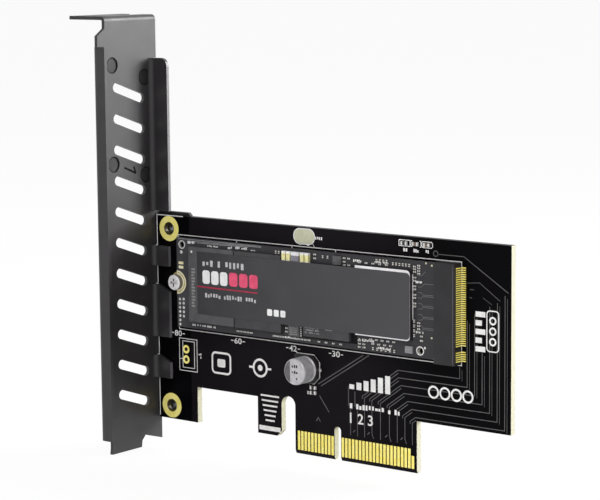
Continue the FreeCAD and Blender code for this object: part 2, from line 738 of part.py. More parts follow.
def fold(sign, start, end, inner, reach):
    """Section of a quarter bend and its leg in (x, y).

    The bend leaves the face at y = start and turns towards +X until the outside
    of the leg lies at y = end; sign tells on which side of start that is.
    """
    outer = inner + s.sheet_thickness
    centre_x = FACE_INNER + inner
    tip = FACE_INNER + reach
    inside = end - sign * s.sheet_thickness
    turn = sign > 0
    return [
        (FACE_OUTER, start, (centre_x, start, turn)),
        (centre_x, end), (tip, end), (tip, inside),
        (centre_x, inside, (centre_x, start, not turn)),
        (FACE_INNER, start),
    ]


def make_bracket():
    body = new_body("bracket")
    pad(body, "face", "YZ", FACE_OUTER, s.sheet_thickness, face_outline())

    legs = [
        ("flange", s.flange_bottom, s.flange_top, s.flange_reach),
        ("finger_one", s.finger_one_bottom, s.finger_one_top, s.finger_reach),
        ("finger_two", s.finger_two_bottom, s.finger_two_top, s.finger_reach),
        ("finger_three", s.finger_three_bottom, s.finger_three_top, s.finger_reach),
    ]
    for name, low, high, reach in legs:
        pad(body, name, "XY", low, high - low,
            fold(1, BOARD_FRONT - OUTER_BEND, BOARD_FRONT, s.bend_radius, reach))

    left_fold = fold(-1, STIFFENER_LINE, FACE_LEFT, s.stiffener_bend, s.stiffener_reach)
    pad(body, "stiffener", "XY", s.stiffener_bottom, s.stiffener_top - s.stiffener_bottom,
        left_fold)

    lug_fold = fold(1, LUG_BACK - LUG_OUTER_BEND, LUG_BACK, LUG_BEND, s.lug_reach)
    lugs = (("upper_lug", LUG_UPPER_FOOT, LUG_UPPER_TOP, HOLE_UPPER),
            ("lower_lug", LUG_LOWER_FOOT, LUG_LOWER_TOP, HOLE_LOWER))
    tip = FACE_INNER + s.lug_reach
    for name, low, high, hole in lugs:
        pad(body, name, "XY", low, high - low, lug_fold)
        cut = s.lug_chamfer
        for side, corner, step in (("top", high, -1), ("foot", low, 1)):
            pocket(body, f"{name}_{side}_corner", "XZ", LUG_FRONT, s.sheet_thickness,
                   path=[(tip - cut, corner), (tip, corner), (tip, corner + step * cut)])
        sketch = plane_sketch(body, name + "_collar_sketch", "XZ", LUG_BACK + s.collar_length)
        draw_circles(sketch, [(HOLE_X, hole, s.collar_diameter)])
        feature(body, "Pad", name + "_collar", sketch, s.collar_length)
        pocket(body, name + "_thread", "XZ", LUG_FRONT, s.sheet_thickness + s.collar_length,
               circles=[(HOLE_X, hole, s.lug_thread)])

    trim_legs(body)
    add_screw_tab(body)
    add_tongue_tip(body)
    cut_vents(body)
    press_marks(body)


def trim_legs(body):
    """Round the flange's free corner and slope the top of two fingers."""
    tip = FACE_INNER + s.flange_reach
    front = BOARD_FRONT - s.sheet_thickness
    radius = s.flange_corner
    pocket(body, "flange_corner", "XZ", front, s.sheet_thickness, path=[
        (tip, s.flange_top - radius, (tip - radius, s.flange_top - radius, False)),
        (tip - radius, s.flange_top), (tip, s.flange_top)])
    root, end = FACE_INNER + s.bend_radius, FACE_INNER + s.finger_reach
    for name, high in (("finger_two", s.finger_two_top), ("finger_three", s.finger_three_top)):
        pocket(body, name + "_slope", "XZ", front, s.sheet_thickness,
               path=[(root, high), (end, high - s.finger_slope), (end, high)])


def add_screw_tab(body):
    """The top of the face bent away from the card, with the screw notch."""
    bend_x, bend_z = FACE_INNER - TAB_BEND, s.bracket_top - TAB_BEND
    end = FACE_INNER - s.tab_length
    under = s.bracket_top - s.sheet_thickness
    pad(body, "screw_tab", "XZ", NECK_LEFT, s.neck_width, [
        (FACE_INNER, bend_z, (bend_x, bend_z, False)), (bend_x, s.bracket_top),
        (end, s.bracket_top), (end, under), (bend_x, under, (bend_x, bend_z, True)),
        (FACE_OUTER, bend_z)])
    middle = FACE_INNER - s.notch_middle
    radius = s.notch_width / 2
    inner = FACE_RIGHT - s.notch_inset
    beyond = FACE_RIGHT + radius
    pocket(body, "screw_notch", "XY", under, s.sheet_thickness, path=[
        (middle - radius, beyond), (middle - radius, inner, (middle, inner, False)),
        (middle + radius, inner), (middle + radius, beyond)])


def add_tongue_tip(body):
    """The end of the tongue leans outwards from its bend line."""
    pad(body, "tongue_tip", "XZ", TONGUE_LEFT, s.tongue_width, [
        (FACE_OUTER, -s.tongue_bend), (FACE_OUTER - s.tongue_kick, -s.tongue_tip),
        (FACE_INNER - s.tongue_kick, -s.tongue_tip), (FACE_INNER, -s.tongue_bend)])


def cut_vents(body):
    """Eleven slanted slots with round ends."""
    half = s.vent_span / 2
    lean, rise = cosine(s.vent_slant), sine(s.vent_slant)
    radius = s.vent_width / 2
    middle = -s.vent_middle
    left = (middle - half * lean, s.vent_first + half * rise)
    right = (middle + half * lean, s.vent_first - half * rise)
    side = (radius * rise, radius * lean)
    path = [
        (left[0] - side[0], left[1] - side[1]),
        (right[0] - side[0], right[1] - side[1], (right[0], right[1], False)),
        (right[0] + side[0], right[1] + side[1]),
        (left[0] + side[0], left[1] + side[1], (left[0], left[1], False)),
    ]
    slot = pocket(body, "vent", "YZ", FACE_OUTER - s.sheet_thickness,
                  s.sheet_thickness * (THROUGH + 1), path=path)
    doc.recompute()
    repeat(body, "vents", slot, "Z", s.vent_pitch, s.vent_count)


def press_marks(body):
    """Round marks pushed out of the face by half a shear."""
    half = s.mark_spread / 2
    lean, rise = cosine(s.mark_slant), sine(s.mark_slant)
    middle = -s.vent_middle
    places = []
    for height in (s.mark_upper, s.mark_lower):
        places += [(middle - half * lean, height + half * rise, s.mark_diameter),
                   (middle + half * lean, height - half * rise, s.mark_diameter)]
    pocket(body, "marks", "YZ", FACE_INNER - s.mark_depth, s.mark_depth, circles=places)
    sketch = plane_sketch(body, "mark_bosses_sketch", "YZ", FACE_OUTER - s.mark_depth)
    draw_circles(sketch, places)
    feature(body, "Pad", "mark_bosses", sketch, s.mark_depth)


# ---------------------------------------------------------------- M.2 connector
def leg_places():
    """Heights of the connector's contacts, from the top down, with the key's step."""
    long = [s.leg_top.number - index * s.leg_pitch.number
            for index in range(count_of(s.legs_long))]
    short = [long[-1] - s.leg_key.number - index * s.leg_pitch.number
             for index in range(count_of(s.legs_short))]
    return long + short


def groove_rows(body, name, profile, shift):
    """One groove for each contact, patterned above and below the key."""
    bottom = s.leg_top + shift - s.leg_groove / 2
    key = bottom - (s.legs_long - 1) * s.leg_pitch - s.leg_key
    for part, low, count in (("upper", bottom, s.legs_long), ("lower", key, s.legs_short)):
        first = pocket(body, f"{name}_{part}", "XY", low, s.leg_groove, path=profile)
        repeat(body, f"{name}_{part}_row", first, "Z", s.leg_pitch, count)


def make_housing():
    """The connector's plastic body: mouth for the module and a groove for each contact."""
    body = new_body("m2_connector_housing")
    cut = s.connector_chamfer
    pad(body, "shell", "XY", HOUSING_BOTTOM, s.connector_width, [
        (s.connector_face, BOARD_FRONT), (s.connector_face, HOUSING_FRONT),
        (HOUSING_BACK - cut, HOUSING_FRONT), (HOUSING_BACK, HOUSING_FRONT + cut),
        (HOUSING_BACK, BOARD_FRONT)])
    sketch = plane_sketch(body, "pegs_sketch", "XZ", BOARD_FRONT + s.peg_length)
    draw_circles(sketch, [(PEG_X, z, s.peg_diameter) for z in peg_places()])
    feature(body, "Pad", "pegs", sketch, s.peg_length)
    gap = s.slot_clearance
    pocket(body, "mouth", "XZ", MODULE_FRONT - gap, s.module_thickness + 2 * gap,
           path=rectangle(s.connector_face, MODULE_MIDDLE - s.finger_width / 2 - gap,
                          SLOT_END, MODULE_MIDDLE + s.finger_width / 2 + gap))
    groove_rows(body, "spring_grooves", [
        (s.connector_face + s.groove_start, ROOF_INSIDE),
        (HOUSING_BACK - s.leg_drop, ROOF_INSIDE), (HOUSING_BACK, GROOVE_LINTEL),
        (HOUSING_BACK, GROOVE_SILL), (SLOT_END, GROOVE_SILL), (SLOT_END, MODULE_FRONT),
        (s.connector_face + s.groove_start, MODULE_FRONT)], 0)
    groove_rows(body, "floor_grooves",
                rectangle(s.connector_face, MODULE_BACK, SLOT_END, GROOVE_FLOOR),
                s.leg_pitch / 2)


def make_connector_contacts():
    """Bent spring contacts, one row on either face of the module."""
    leaf, face = s.leg_leaf.number, s.connector_face.number
    back, board = HOUSING_BACK.number, BOARD_FRONT.number
    gold, lift = s.gold_thickness.number, s.leg_pitch.number / 2
    tip = leaf / 2 + s.tip_clearance.number
    touch = MODULE_FRONT.number - gold - tip
    beam = (touch + ROOF_INSIDE.number) / 2
    foot = board - leaf / 2
    exit_level = board - s.leg_exit.number
    upper = [Vector(face + 0.7, beam, 0), Vector(face + 1.2, touch, 0),
             Vector(face + 2.1, beam, 0), Vector(back - s.leg_drop.number, beam, 0),
             Vector(back, exit_level, 0), Vector(back + 0.16, foot, 0),
             Vector(back + s.leg_foot.number, foot, 0)]
    solid_piece("m2_contacts_upper",
                [strip(upper, leaf, z, s.leg_width.number) for z in leg_places()])
    under = MODULE_BACK.number + gold + tip
    floor = board - leaf * 2.7
    lower = [Vector(face + 0.7, under + 0.15, 0), Vector(face + 1.2, under, 0),
             Vector(face + 2.4, under + 0.3, 0), Vector(face + 3.1, floor - 0.3, 0),
             Vector(face + 2.9, floor, 0), Vector(face - 0.15, floor, 0),
             Vector(face - 0.3, foot, 0), Vector(face - s.leg_foot.number, foot, 0)]
    solid_piece("m2_contacts_lower",
                [strip(lower, leaf, z + lift, s.leg_width.number) for z in leg_places()])


# ---------------------------------------------------------------- drive module
def module_outline():
    """The module's edge: half hole at one end, narrower keyed tongue at the other."""
    radius = s.half_hole / 2
    neck = MODULE_RIGHT - s.finger_length
    low = MODULE_MIDDLE - s.finger_width / 2
    high = MODULE_MIDDLE + s.finger_width / 2
    key = s.leg_top - (s.legs_long - 1) * s.leg_pitch - s.leg_key / 2
    key_end = MODULE_RIGHT - s.module_key_depth
    key_low, key_high = key - s.module_key / 2, key + s.module_key / 2
    return [
        (MODULE_LEFT, s.module_bottom), (neck, s.module_bottom), (neck, low),
        (MODULE_RIGHT, low), (MODULE_RIGHT, key_low),
        (key_end + s.module_key / 2, key_low, (key_end + s.module_key / 2, key, True)),
        (key_end + s.module_key / 2, key_high), (MODULE_RIGHT, key_high),
        (MODULE_RIGHT, high), (neck, high), (neck, MODULE_TOP), (MODULE_LEFT, MODULE_TOP),
        (MODULE_LEFT, MODULE_MIDDLE + radius, (MODULE_LEFT, MODULE_MIDDLE, True)),
        (MODULE_LEFT, MODULE_MIDDLE - radius),
    ]


def make_module_board():
    body = new_body("ssd_board")
    pad(body, "laminate_80", "XZ", MODULE_FRONT, s.module_thickness, module_outline())
    holes = [(MODULE_LEFT + s.tool_hole_x, MODULE_TOP - s.tool_hole_drop, s.tool_hole),
             (s.connector_face - s.key_hole_x, s.module_bottom + s.key_hole_rise, s.tool_hole)]
    pocket(body, "tool_holes", "XZ", MODULE_FRONT, s.module_thickness, circles=holes)


def make_module_gold():
    """Contacts at the keyed end and the grounding ring round the half hole."""
    width, length = s.gold_width.number, s.gold_length.number
    thick = s.gold_thickness.number
    start = MODULE_RIGHT.number - length
    fingers = []
    for shift, low in ((0, MODULE_FRONT.number - thick), (s.leg_pitch.number / 2,
                                                          MODULE_BACK.number)):
        reach = (s.finger_width / 2).number - width
        for z in leg_places():
            if abs(z + shift - MODULE_MIDDLE.number) < reach:
                fingers.append(Part.makeBox(length, thick, width,
                                            Vector(start, low, z + shift - width / 2)))
    solid_piece("ssd_edge_contacts", fingers)

    body = new_body("ssd_end_ring")
    outer, inner = s.half_ring / 2, s.half_hole / 2
    pad(body, "half_ring", "XZ", MODULE_FRONT - s.gold_thickness, s.gold_thickness, [
        (MODULE_LEFT, MODULE_MIDDLE - outer, (MODULE_LEFT, MODULE_MIDDLE, False)),
        (MODULE_LEFT, MODULE_MIDDLE + outer),
        (MODULE_LEFT, MODULE_MIDDLE + inner, (MODULE_LEFT, MODULE_MIDDLE, True)),
        (MODULE_LEFT, MODULE_MIDDLE - inner)])


def make_packages():
    """Flash memory, buffer memory and the controller with its metal lid."""
    low = s.module_bottom + s.memory_rise
    size = (s.memory_width, s.chip_height, s.memory_tall)
    keep(block("memory_left", (MEMORY_LEFT, CHIP_FRONT, low), size), "ssd_memory_left")
    keep(block("memory_right", (MEMORY_RIGHT - s.memory_width, CHIP_FRONT, low), size),
         "ssd_memory_right")
    keep(block("buffer", (BUFFER_LEFT, CHIP_FRONT, low),
               (s.buffer_width, s.chip_height, s.buffer_tall)), "ssd_buffer_memory")
    bottom = s.module_bottom + s.control_rise
    keep(block("control", (CONTROL_LEFT, MODULE_FRONT - s.control_base, bottom),
               (s.control_width, s.control_base, s.control_tall)), "ssd_controller_base")
    body = new_body("ssd_controller_lid")
    pad(body, "lid", "XZ", CHIP_FRONT, s.chip_height - s.control_base,
        rounded_right(CONTROL_LEFT, bottom, CONTROL_RIGHT, bottom + s.control_tall,
                      s.control_corner))


def make_power_chips():
    """Power management chip and oscillator beside the larger packages."""
    keep(block("power", (MEMORY_RIGHT + s.power_gap, MODULE_FRONT - s.power_height,
                         s.module_bottom + s.power_rise),
               (s.power_width, s.power_height, s.power_length)), "ssd_power_chip")
    keep(block("clock", (CONTROL_RIGHT - s.clock_shift, MODULE_FRONT - s.clock_height,
                         s.module_bottom + s.clock_rise),
               (s.clock_width, s.clock_height, s.clock_length)), "ssd_oscillator")


def tiny_rows():
    """Rows of the smallest parts: first centre, step along X and Z, count, upright."""
    low, top = s.module_bottom, MODULE_TOP
    flash, buffer, lid = MEMORY_RIGHT, BUFFER_LEFT, CONTROL_RIGHT
    return [
        (flash - 13.75, low + 0.8, 1.05, 0, 5, False),
        (flash - 2.65, low + 0.8, 0.9, 0, 4, False),
        (flash + 2.55, low + 0.8, 1.05, 0, 6, False),
        (buffer + 0.8, low + 0.8, 2.1, 0, 4, False),
        (flash + 1.15, low + 2.2, 0, 0.85, 2, False),
        (lid - 14.75, low + 0.8, 0, 0.75, 3, False),
        (lid - 13.45, low + 0.8, 0, 0.75, 3, False),
        (lid - 11.5, low + 2.9, 1.6, 0, 5, False),
        (lid - 10.9, low + 1.9, 1.65, 0, 4, False),
        (lid - 10.9, low + 0.8, 1.2, 0, 6, True),
        (flash - 1.85, top - 1.15, 0.9, 0, 2, True),
        (buffer - 0.25, top - 0.8, 0, -0.9, 2, False),
        (buffer + 2.1, top - 1.15, 1.4, 0, 2, True),
        (buffer + 8.3, top - 1.0, 0, -0.8, 3, False),
        (buffer + 9.6, top - 1.0, 0, -1.55, 2, False),
        (lid - 14.6, top - 1.6, 1.9, 0, 5, False),
        (lid - 9.8, top - 0.75, 0.95, 0, 4, True),
        (lid - 5.2, top - 1.15, 0.9, 0, 6, True),
        (lid + 0.75, top - 1.3, 0, -0.6, 3, False),
        (lid + 1.9, top - 1.0, 0, -0.6, 4, False),
        (lid + 0.75, top - 3.8, 0, -1.95, 4, False),
        (lid + 0.75, top - 4.5, 0, -1.95, 4, False),
        (lid + 0.6, low + 8.3, 0, -1.1, 4, True),
        (lid + 1.85, low + 8.0, 0, -0.7, 4, False),
        (lid + 2.6, low + 5.0, 0, -1.0, 2, False),
    ]


def make_tiny_parts():
    """The smallest resistors and capacitors of the module, in rows."""
    length, width, height = s.tiny_length.number, s.tiny_width.number, s.tiny_height.number
    shapes = []
    for x, z, step_x, step_z, count, upright in tiny_rows():
        wide, tall = (width, length) if upright else (length, width)
        for index in range(count):
            corner = Vector(x.number + index * step_x - wide / 2, MODULE_FRONT.number - height,
                            z.number + index * step_z - tall / 2)
            shapes.append(Part.makeBox(wide, height, tall, corner))
    solid_piece("ssd_small_parts", shapes)


def make_label():
    body = new_body("ssd_label")
    left = MODULE_LEFT + s.label_left
    low = s.module_bottom + s.label_rise
    pad(body, "label_sheet", "XZ", CHIP_FRONT - s.label_thickness, s.label_thickness,
        rounded_right(left, low, CONTROL_RIGHT - s.label_margin, low + s.label_tall,
                      s.label_corner))


def make_power_parts():
    """Tall capacitors either side of the inductor, and the regulator beyond."""
    top = MODULE_TOP - s.tall_drop
    start = MEMORY_RIGHT + s.tall_start
    step = s.tall_width + s.tall_gap
    coil_left = start + 2 * step
    after = coil_left + s.coil_width + s.tall_gap
    lefts = (start, start + step, after, after + step)
    caps = [block(f"tall_cap_{index}", (x, MODULE_FRONT - s.tall_height, top - s.tall_length),
                  (s.tall_width, s.tall_height, s.tall_length))
            for index, x in enumerate(lefts)]
    group("ssd_tall_capacitors", caps)
    keep(block("coil", (coil_left, MODULE_FRONT - s.coil_height, top - s.coil_length),
               (s.coil_width, s.coil_height, s.coil_length)), "ssd_inductor")
    keep(block("regulator", (BUFFER_LEFT + s.regulator_shift,
                             MODULE_FRONT - s.regulator_height, top - s.regulator_length),
               (s.regulator_width, s.regulator_height, s.regulator_length)), "ssd_regulator")


# ---------------------------------------------------------------- standoff and screw
def make_standoff():
    """Swaged nut: spigot in the board, shoulder under the module, boss in its half hole."""
    bore, boss = s.screw_bore / 2, s.spacer_boss / 2
    turned("ssd_standoff", MODULE_LEFT, MODULE_MIDDLE, [
        (bore, MODULE_FRONT), (boss, MODULE_FRONT), (boss, MODULE_BACK),
        (s.spacer_diameter / 2, MODULE_BACK), (s.spacer_diameter / 2, BOARD_FRONT),
        (s.spacer_spigot / 2, BOARD_FRONT),
        (s.spacer_spigot / 2, BOARD_FRONT + s.spigot_length),
        (bore, BOARD_FRONT + s.spigot_length)])


def make_screw():
    """Module screw: domed head on the gold ring, shank in the standoff."""
    seat = MODULE_FRONT - s.gold_thickness
    head, dome = s.screw_head / 2, s.screw_dome
    crown = seat - s.screw_head_height
    shank = s.screw_diameter / 2
    body = turned("ssd_screw", MODULE_LEFT, MODULE_MIDDLE, [
        (0, crown), (head - dome, crown, (head - dome, crown + dome, False)),
        (head, crown + dome), (head, seat), (shank, seat), (shank, seat + s.screw_length),
        (0, seat + s.screw_length)])
    arm, half = s.recess_span / 2, s.recess_width / 2
    x, z = MODULE_LEFT, MODULE_MIDDLE
    cross = [(x - arm, z - half), (x - half, z - half), (x - half, z - arm),
             (x + half, z - arm), (x + half, z - half), (x + arm, z - half),
             (x + arm, z + half), (x + half, z + half), (x + half, z + arm),
             (x - half, z + arm), (x - half, z + half), (x - arm, z + half)]
    pocket(body, "cross_recess", "XZ", crown, s.recess_depth, path=cross)


# ---------------------------------------------------------------- smoothing capacitor
def make_can():
    """Aluminium can with a rounded top edge and a crimped groove."""
    radius, rim = s.can_diameter / 2, s.can_rim
    seat, top = BOARD_FRONT - s.can_seat, BOARD_FRONT - s.can_top
    groove = BOARD_FRONT - s.can_groove
    half = s.can_groove_width / 2
    turned("capacitor_can", CAN_X, s.can_z, [
        (0, seat), (0, top), (radius - rim, top, (radius - rim, top + rim, False)),
        (radius, top + rim), (radius, groove - half), (radius - s.can_groove_depth, groove),
        (radius, groove + half), (radius, seat)])


def make_base():
    """Square base with two cut corners, corner posts and grooves for the leads."""
    body = new_body("capacitor_base")
    half, cut = s.base_size / 2, s.base_chamfer
    left, right = CAN_X - half, CAN_X + half
    low, high = s.can_z - half, s.can_z + half
    pad(body, "plate", "XZ", BOARD_FRONT - s.base_wall, s.base_wall, [
        (left, low), (right - cut, low), (right, low + cut), (right, high - cut),
        (right - cut, high), (left, high)])
    pocket(body, "can_seat_recess", "XZ", BOARD_FRONT - s.base_wall, s.base_wall - s.can_seat,
           circles=[(CAN_X, s.can_z, s.can_diameter + 2 * s.base_clearance)])
    pocket(body, "lead_groove", "XZ", BOARD_FRONT - s.lead_thickness, s.lead_thickness,
           path=rectangle(left, s.can_z - s.lead_width / 2, right, s.can_z + s.lead_width / 2))


def make_leads():
    length = s.lead_outer - s.lead_inner
    low = s.can_z - s.lead_width / 2
    size = (length, s.lead_thickness, s.lead_width)
    group("capacitor_leads", [
        block("lead_left", (CAN_X - s.lead_outer, BOARD_FRONT - s.lead_thickness, low), size),
        block("lead_right", (CAN_X + s.lead_inner, BOARD_FRONT - s.lead_thickness, low), size)])


# ---------------------------------------------------------------- small parts
def chip(name, x, z):
    """One surface-mounted part, centred on (x, z)."""
    return block(name, (x - s.chip_length / 2, BOARD_FRONT - s.chip_thick, z - s.chip_width / 2),
                 (s.chip_length, s.chip_thick, s.chip_width))


def make_small_parts():
    row = s.board_top - s.row_drop
    group("board_resistors", [
        chip("top_resistor", s.row_x, row),
        chip("pair_upper", -s.pair_x, s.pair_z + s.pair_step / 2),
        chip("pair_lower", -s.pair_x, s.pair_z - s.pair_step / 2)])
    group("board_capacitors", [
        chip("top_capacitor", s.row_x + s.row_step, row),
        chip("top_indicator", s.row_x + 2 * s.row_step, row)])


# ---------------------------------------------------------------- build and write
def check_document():
    """Stop on any object that did not recompute and on any bad shape."""
    doc.recompute()
    for item in doc.Objects:
        if "Invalid" in item.State or "Error" in item.State:
            raise RuntimeError(f"{item.Name} failed: {item.State}")
    for piece in pieces:
        if piece.Shape.isNull() or not piece.Shape.isValid() or not piece.Shape.Solids:
            raise RuntimeError(f"{piece.Label} has no valid solid")


def write_parts():
    os.makedirs(NODE_FOLDER, exist_ok=True)
    for piece in pieces:
        piece.Shape.exportStep(f"{NODE_FOLDER}/{piece.Label}.step")
        print(f"{piece.Label}: {len(piece.Shape.Solids)} solids, "
              f"{piece.Shape.Volume:.2f} mm3")


make_board()
make_platings()
make_edge_contacts()
make_bracket()
make_housing()
make_connector_contacts()
make_module_board()
make_module_gold()
make_packages()
make_power_chips()
make_tiny_parts()
make_label()
make_power_parts()
make_standoff()
make_screw()
make_can()
make_base()
make_leads()
make_small_parts()
check_document()
write_parts()
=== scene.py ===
"""Looks of a solid-state drive adapter card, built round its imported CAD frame.

Every length is in millimetres in the card's own frame, and is turned into metres once, when a
mesh is made. X runs along the card away from its bracket, the side that carries the parts faces
-Y, and Z is up. The origin is the middle of the key notch on the bottom of the edge tab.
"""

import logging
import math
from dataclasses import dataclass, field, replace
from enum import Enum

import bpy
import numpy as np
from mathutils import Matrix, Vector


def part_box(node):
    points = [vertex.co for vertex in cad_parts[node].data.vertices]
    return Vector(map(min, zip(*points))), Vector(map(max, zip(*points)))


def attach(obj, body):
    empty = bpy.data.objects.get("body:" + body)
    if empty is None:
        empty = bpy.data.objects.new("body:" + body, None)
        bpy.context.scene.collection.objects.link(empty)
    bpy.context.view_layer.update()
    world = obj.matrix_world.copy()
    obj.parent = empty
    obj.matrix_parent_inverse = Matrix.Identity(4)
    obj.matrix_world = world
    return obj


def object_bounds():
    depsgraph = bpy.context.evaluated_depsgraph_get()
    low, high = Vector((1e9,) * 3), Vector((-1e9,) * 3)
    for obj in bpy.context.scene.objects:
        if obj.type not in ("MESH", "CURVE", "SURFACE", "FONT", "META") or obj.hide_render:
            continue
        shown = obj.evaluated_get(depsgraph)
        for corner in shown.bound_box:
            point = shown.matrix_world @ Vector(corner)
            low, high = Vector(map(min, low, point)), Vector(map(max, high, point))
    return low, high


LOG = logging.getLogger("card_looks")
MM = 0.001
BODY = "root"
NOISE_SPAN = (0.35, 0.65)
WHITE = (1.0, 1.0, 1.0, 1.0)

Colour = tuple[int, int, int]
Spot = tuple[float, float]
Span = tuple[float, float]
Place = tuple[float, float, float]
Triple = tuple[float, float, float]
Box = tuple[float, float, float, float]
Path = list[Spot] | np.ndarray
Socket = bpy.types.NodeSocket
Value = Socket | float | tuple


# ---------------------------------------------------------------- surfaces

class Side(Enum):
    """A flat face that details lie on: its right, up and outward directions."""

    FRONT = ((1, 0, 0), (0, 0, 1), (0, -1, 0))
    BACK = ((-1, 0, 0), (0, 0, 1), (0, 1, 0))
    BRACKET_INSIDE = ((0, 1, 0), (0, 0, 1), (1, 0, 0))

    def place(self, points: np.ndarray, level: float) -> np.ndarray:
        """Turns points given as right, up and out into the card's frame.

        Args:
            points: (n, 3) places on the face, the last one measured outwards from it.
            level: how far the face lies from the origin, along its outward direction.

        Returns:
            (n, 3) places in the card's frame.
        """
        lifted = points + np.array((0.0, 0.0, level))
        return lifted @ np.array(self.value, float)


@dataclass
class Shape:
    """Closed surfaces: (n, 3) points as right, up and out, and the corners of each face."""

    points: np.ndarray
    faces: list[list[int]]


def joined(shapes: list[Shape]) -> Shape:
    """Puts shapes together as one.

    Args:
        shapes: the shapes, which may lie apart.

    Returns:
        One shape with the points and faces of them all.
    """
    starts = np.cumsum([0] + [len(s.points) for s in shapes[:-1]])
    faces = [[int(start) + corner for corner in face]
             for start, shape in zip(starts, shapes) for face in shape.faces]
    return Shape(np.vstack([s.points for s in shapes]), faces)


def skin(grid: np.ndarray, round_rows: bool, round_columns: bool) -> list[list[int]]:
    """Four-sided faces between the neighbours of a grid of points.

    Args:
        grid: (rows, columns, 3) points.
        round_rows: whether the last row joins the first.
        round_columns: whether the last column joins the first.

    Returns:
        The faces, which look along the row direction crossed with the column direction.
    """
    rows, columns = grid.shape[:2]
    row, column = np.meshgrid(np.arange(rows - (not round_rows)),
                              np.arange(columns - (not round_columns)), indexing="ij")
    row, column = row.ravel(), column.ravel()
    next_row, next_column = (row + 1) % rows, (column + 1) % columns
    corners = (row * columns + column, next_row * columns + column,
               next_row * columns + next_column, row * columns + next_column)
    return np.stack(corners, 1).tolist()


def prism(outline: np.ndarray, high: float) -> Shape:
    """A plate that lies on its face: the outline, drawn anticlockwise, carried straight outwards.

    Args:
        outline: (n, 2) corners.
        high: how far it stands out.

    Returns:
        The closed plate.
    """
    count = len(outline)
    heights = np.broadcast_to((0.0, high), (count, 2))
    flat = np.broadcast_to(outline[:, None, :], (count, 2, 2))
    grid = np.concatenate((flat, heights[..., None]), 2)
    top = [2 * i + 1 for i in range(count)]
    bottom = [2 * i for i in reversed(range(count))]
    return Shape(grid.reshape(-1, 3), skin(grid, True, False) + [top, bottom])


def ribbon(path: Path, width: float, high: float, closed: bool = False) -> Shape:
    """A strip of rectangular section that lies along a path, with its corners mitred.

    At each point the strip's half width is laid off along the mean of the two edge normals,
    divided by the cosine of half the turn, so that both edges stay parallel to the path.

    Args:
        path: the points of the strip's middle line.
        width: the strip's width.
        high: how far it stands out of its face.
        closed: whether the path's end joins its start.

    Returns:
        The closed strip.
    """
    line = np.asarray(path, float)
    ahead = np.roll(line, -1, 0) - line
    behind = line - np.roll(line, 1, 0)
    if not closed:
        ahead[-1], behind[0] = behind[-1], ahead[0]
    ahead, behind = (d / np.linalg.norm(d, axis=1, keepdims=True) for d in (ahead, behind))
    mean = ahead + behind
    mean /= np.linalg.norm(mean, axis=1, keepdims=True)
    left = np.stack((-mean[:, 1], mean[:, 0]), 1) / np.sum(mean * ahead, 1, keepdims=True)
    across = np.array((-1, 1, 1, -1)) * width / 2
    heights = np.broadcast_to((high, high, 0.0, 0.0), (len(line), 4))
    flat = line[:, None, :] + across[None, :, None] * left[:, None, :]
    grid = np.concatenate((flat, heights[..., None]), 2)
    faces = skin(grid, closed, True)
    if not closed:
        last = 4 * (len(line) - 1)
        faces += [[0, 1, 2, 3], [last + 3, last + 2, last + 1, last]]
    return Shape(grid.reshape(-1, 3), faces)


def turned(profile: Path, centre: Spot, sides: int, hollow: bool = False) -> Shape:
    """A turned form: a profile of radius and height swung round an axis that points outwards.

    Args:
        profile: radius and height, going up the outer wall and inwards over the top.
        centre: where the axis stands on the face.
        sides: how many facets go round.
        hollow: whether the profile is a closed loop round a bore, as in a ring.

    Returns:
        The closed form.
    """
    section = np.asarray(profile, float)
    angle = np.arange(sides) * math.tau / sides
    radius, height = section[:, 0], section[:, 1]
    grid = np.stack((centre[0] + np.cos(angle)[:, None] * radius,
                     centre[1] + np.sin(angle)[:, None] * radius,
                     np.broadcast_to(height, (sides, len(section)))), 2)
    faces = skin(grid, True, hollow)
    if not hollow:
        step = len(section)
        faces.append([i * step + step - 1 for i in range(sides)])
        faces.append([i * step for i in reversed(range(sides))])
    return Shape(grid.reshape(-1, 3), faces)


def ring(centre: Spot, inner: float, outer: float, high: float, sides: int = 32) -> Shape:
    """A flat ring, as a turned rectangle."""
    return turned([(inner, 0), (outer, 0), (outer, high), (inner, high)], centre, sides, True)


def dome(centre: Spot, radius: float, high: float, low: float = 0.0) -> Shape:
    """A low solder bump: a quarter of an ellipse turned round its axis.

    Args:
        centre: where its axis stands on the face.
        radius: how wide it is at its foot.
        high: how far its top stands out.
        low: where its foot is.

    Returns:
        The bump.
    """
    rise = np.linspace(0, math.pi / 2.3, 4)
    profile = np.stack((radius * np.cos(rise), low + (high - low) * np.sin(rise)), 1)
    return turned(profile, centre, 12)


def blocks(lows: np.ndarray, highs: np.ndarray) -> Shape:
    """Plain blocks between pairs of opposite corners.

    Args:
        lows: (n, 3) lowest corners.
        highs: (n, 3) highest corners.

    Returns:
        All the blocks as one shape.
    """
    lows, highs = np.atleast_2d(lows).astype(float), np.atleast_2d(highs).astype(float)
    pick = np.array([(i & 1, i >> 1 & 1, i >> 2) for i in range(8)], bool)
    points = np.where(pick[None], highs[:, None], lows[:, None]).reshape(-1, 3)
    sides = np.array(((0, 2, 3, 1), (4, 5, 7, 6), (0, 1, 5, 4), (2, 6, 7, 3), (0, 4, 6, 2),
                      (1, 3, 7, 5)))
    faces = (sides[None] + 8 * np.arange(len(lows))[:, None, None]).reshape(-1, 4)
    return Shape(points, faces.tolist())


def bar(left: float, bottom: float, right: float, top: float, high: float) -> Shape:
    """One block that lies on its face."""
    return blocks((left, bottom, 0), (right, top, high))


def corners(left: float, bottom: float, right: float, top: float) -> Path:
    """The corners of a rectangle, anticlockwise from its left and bottom."""
    return [(left, bottom), (right, bottom), (right, top), (left, top)]


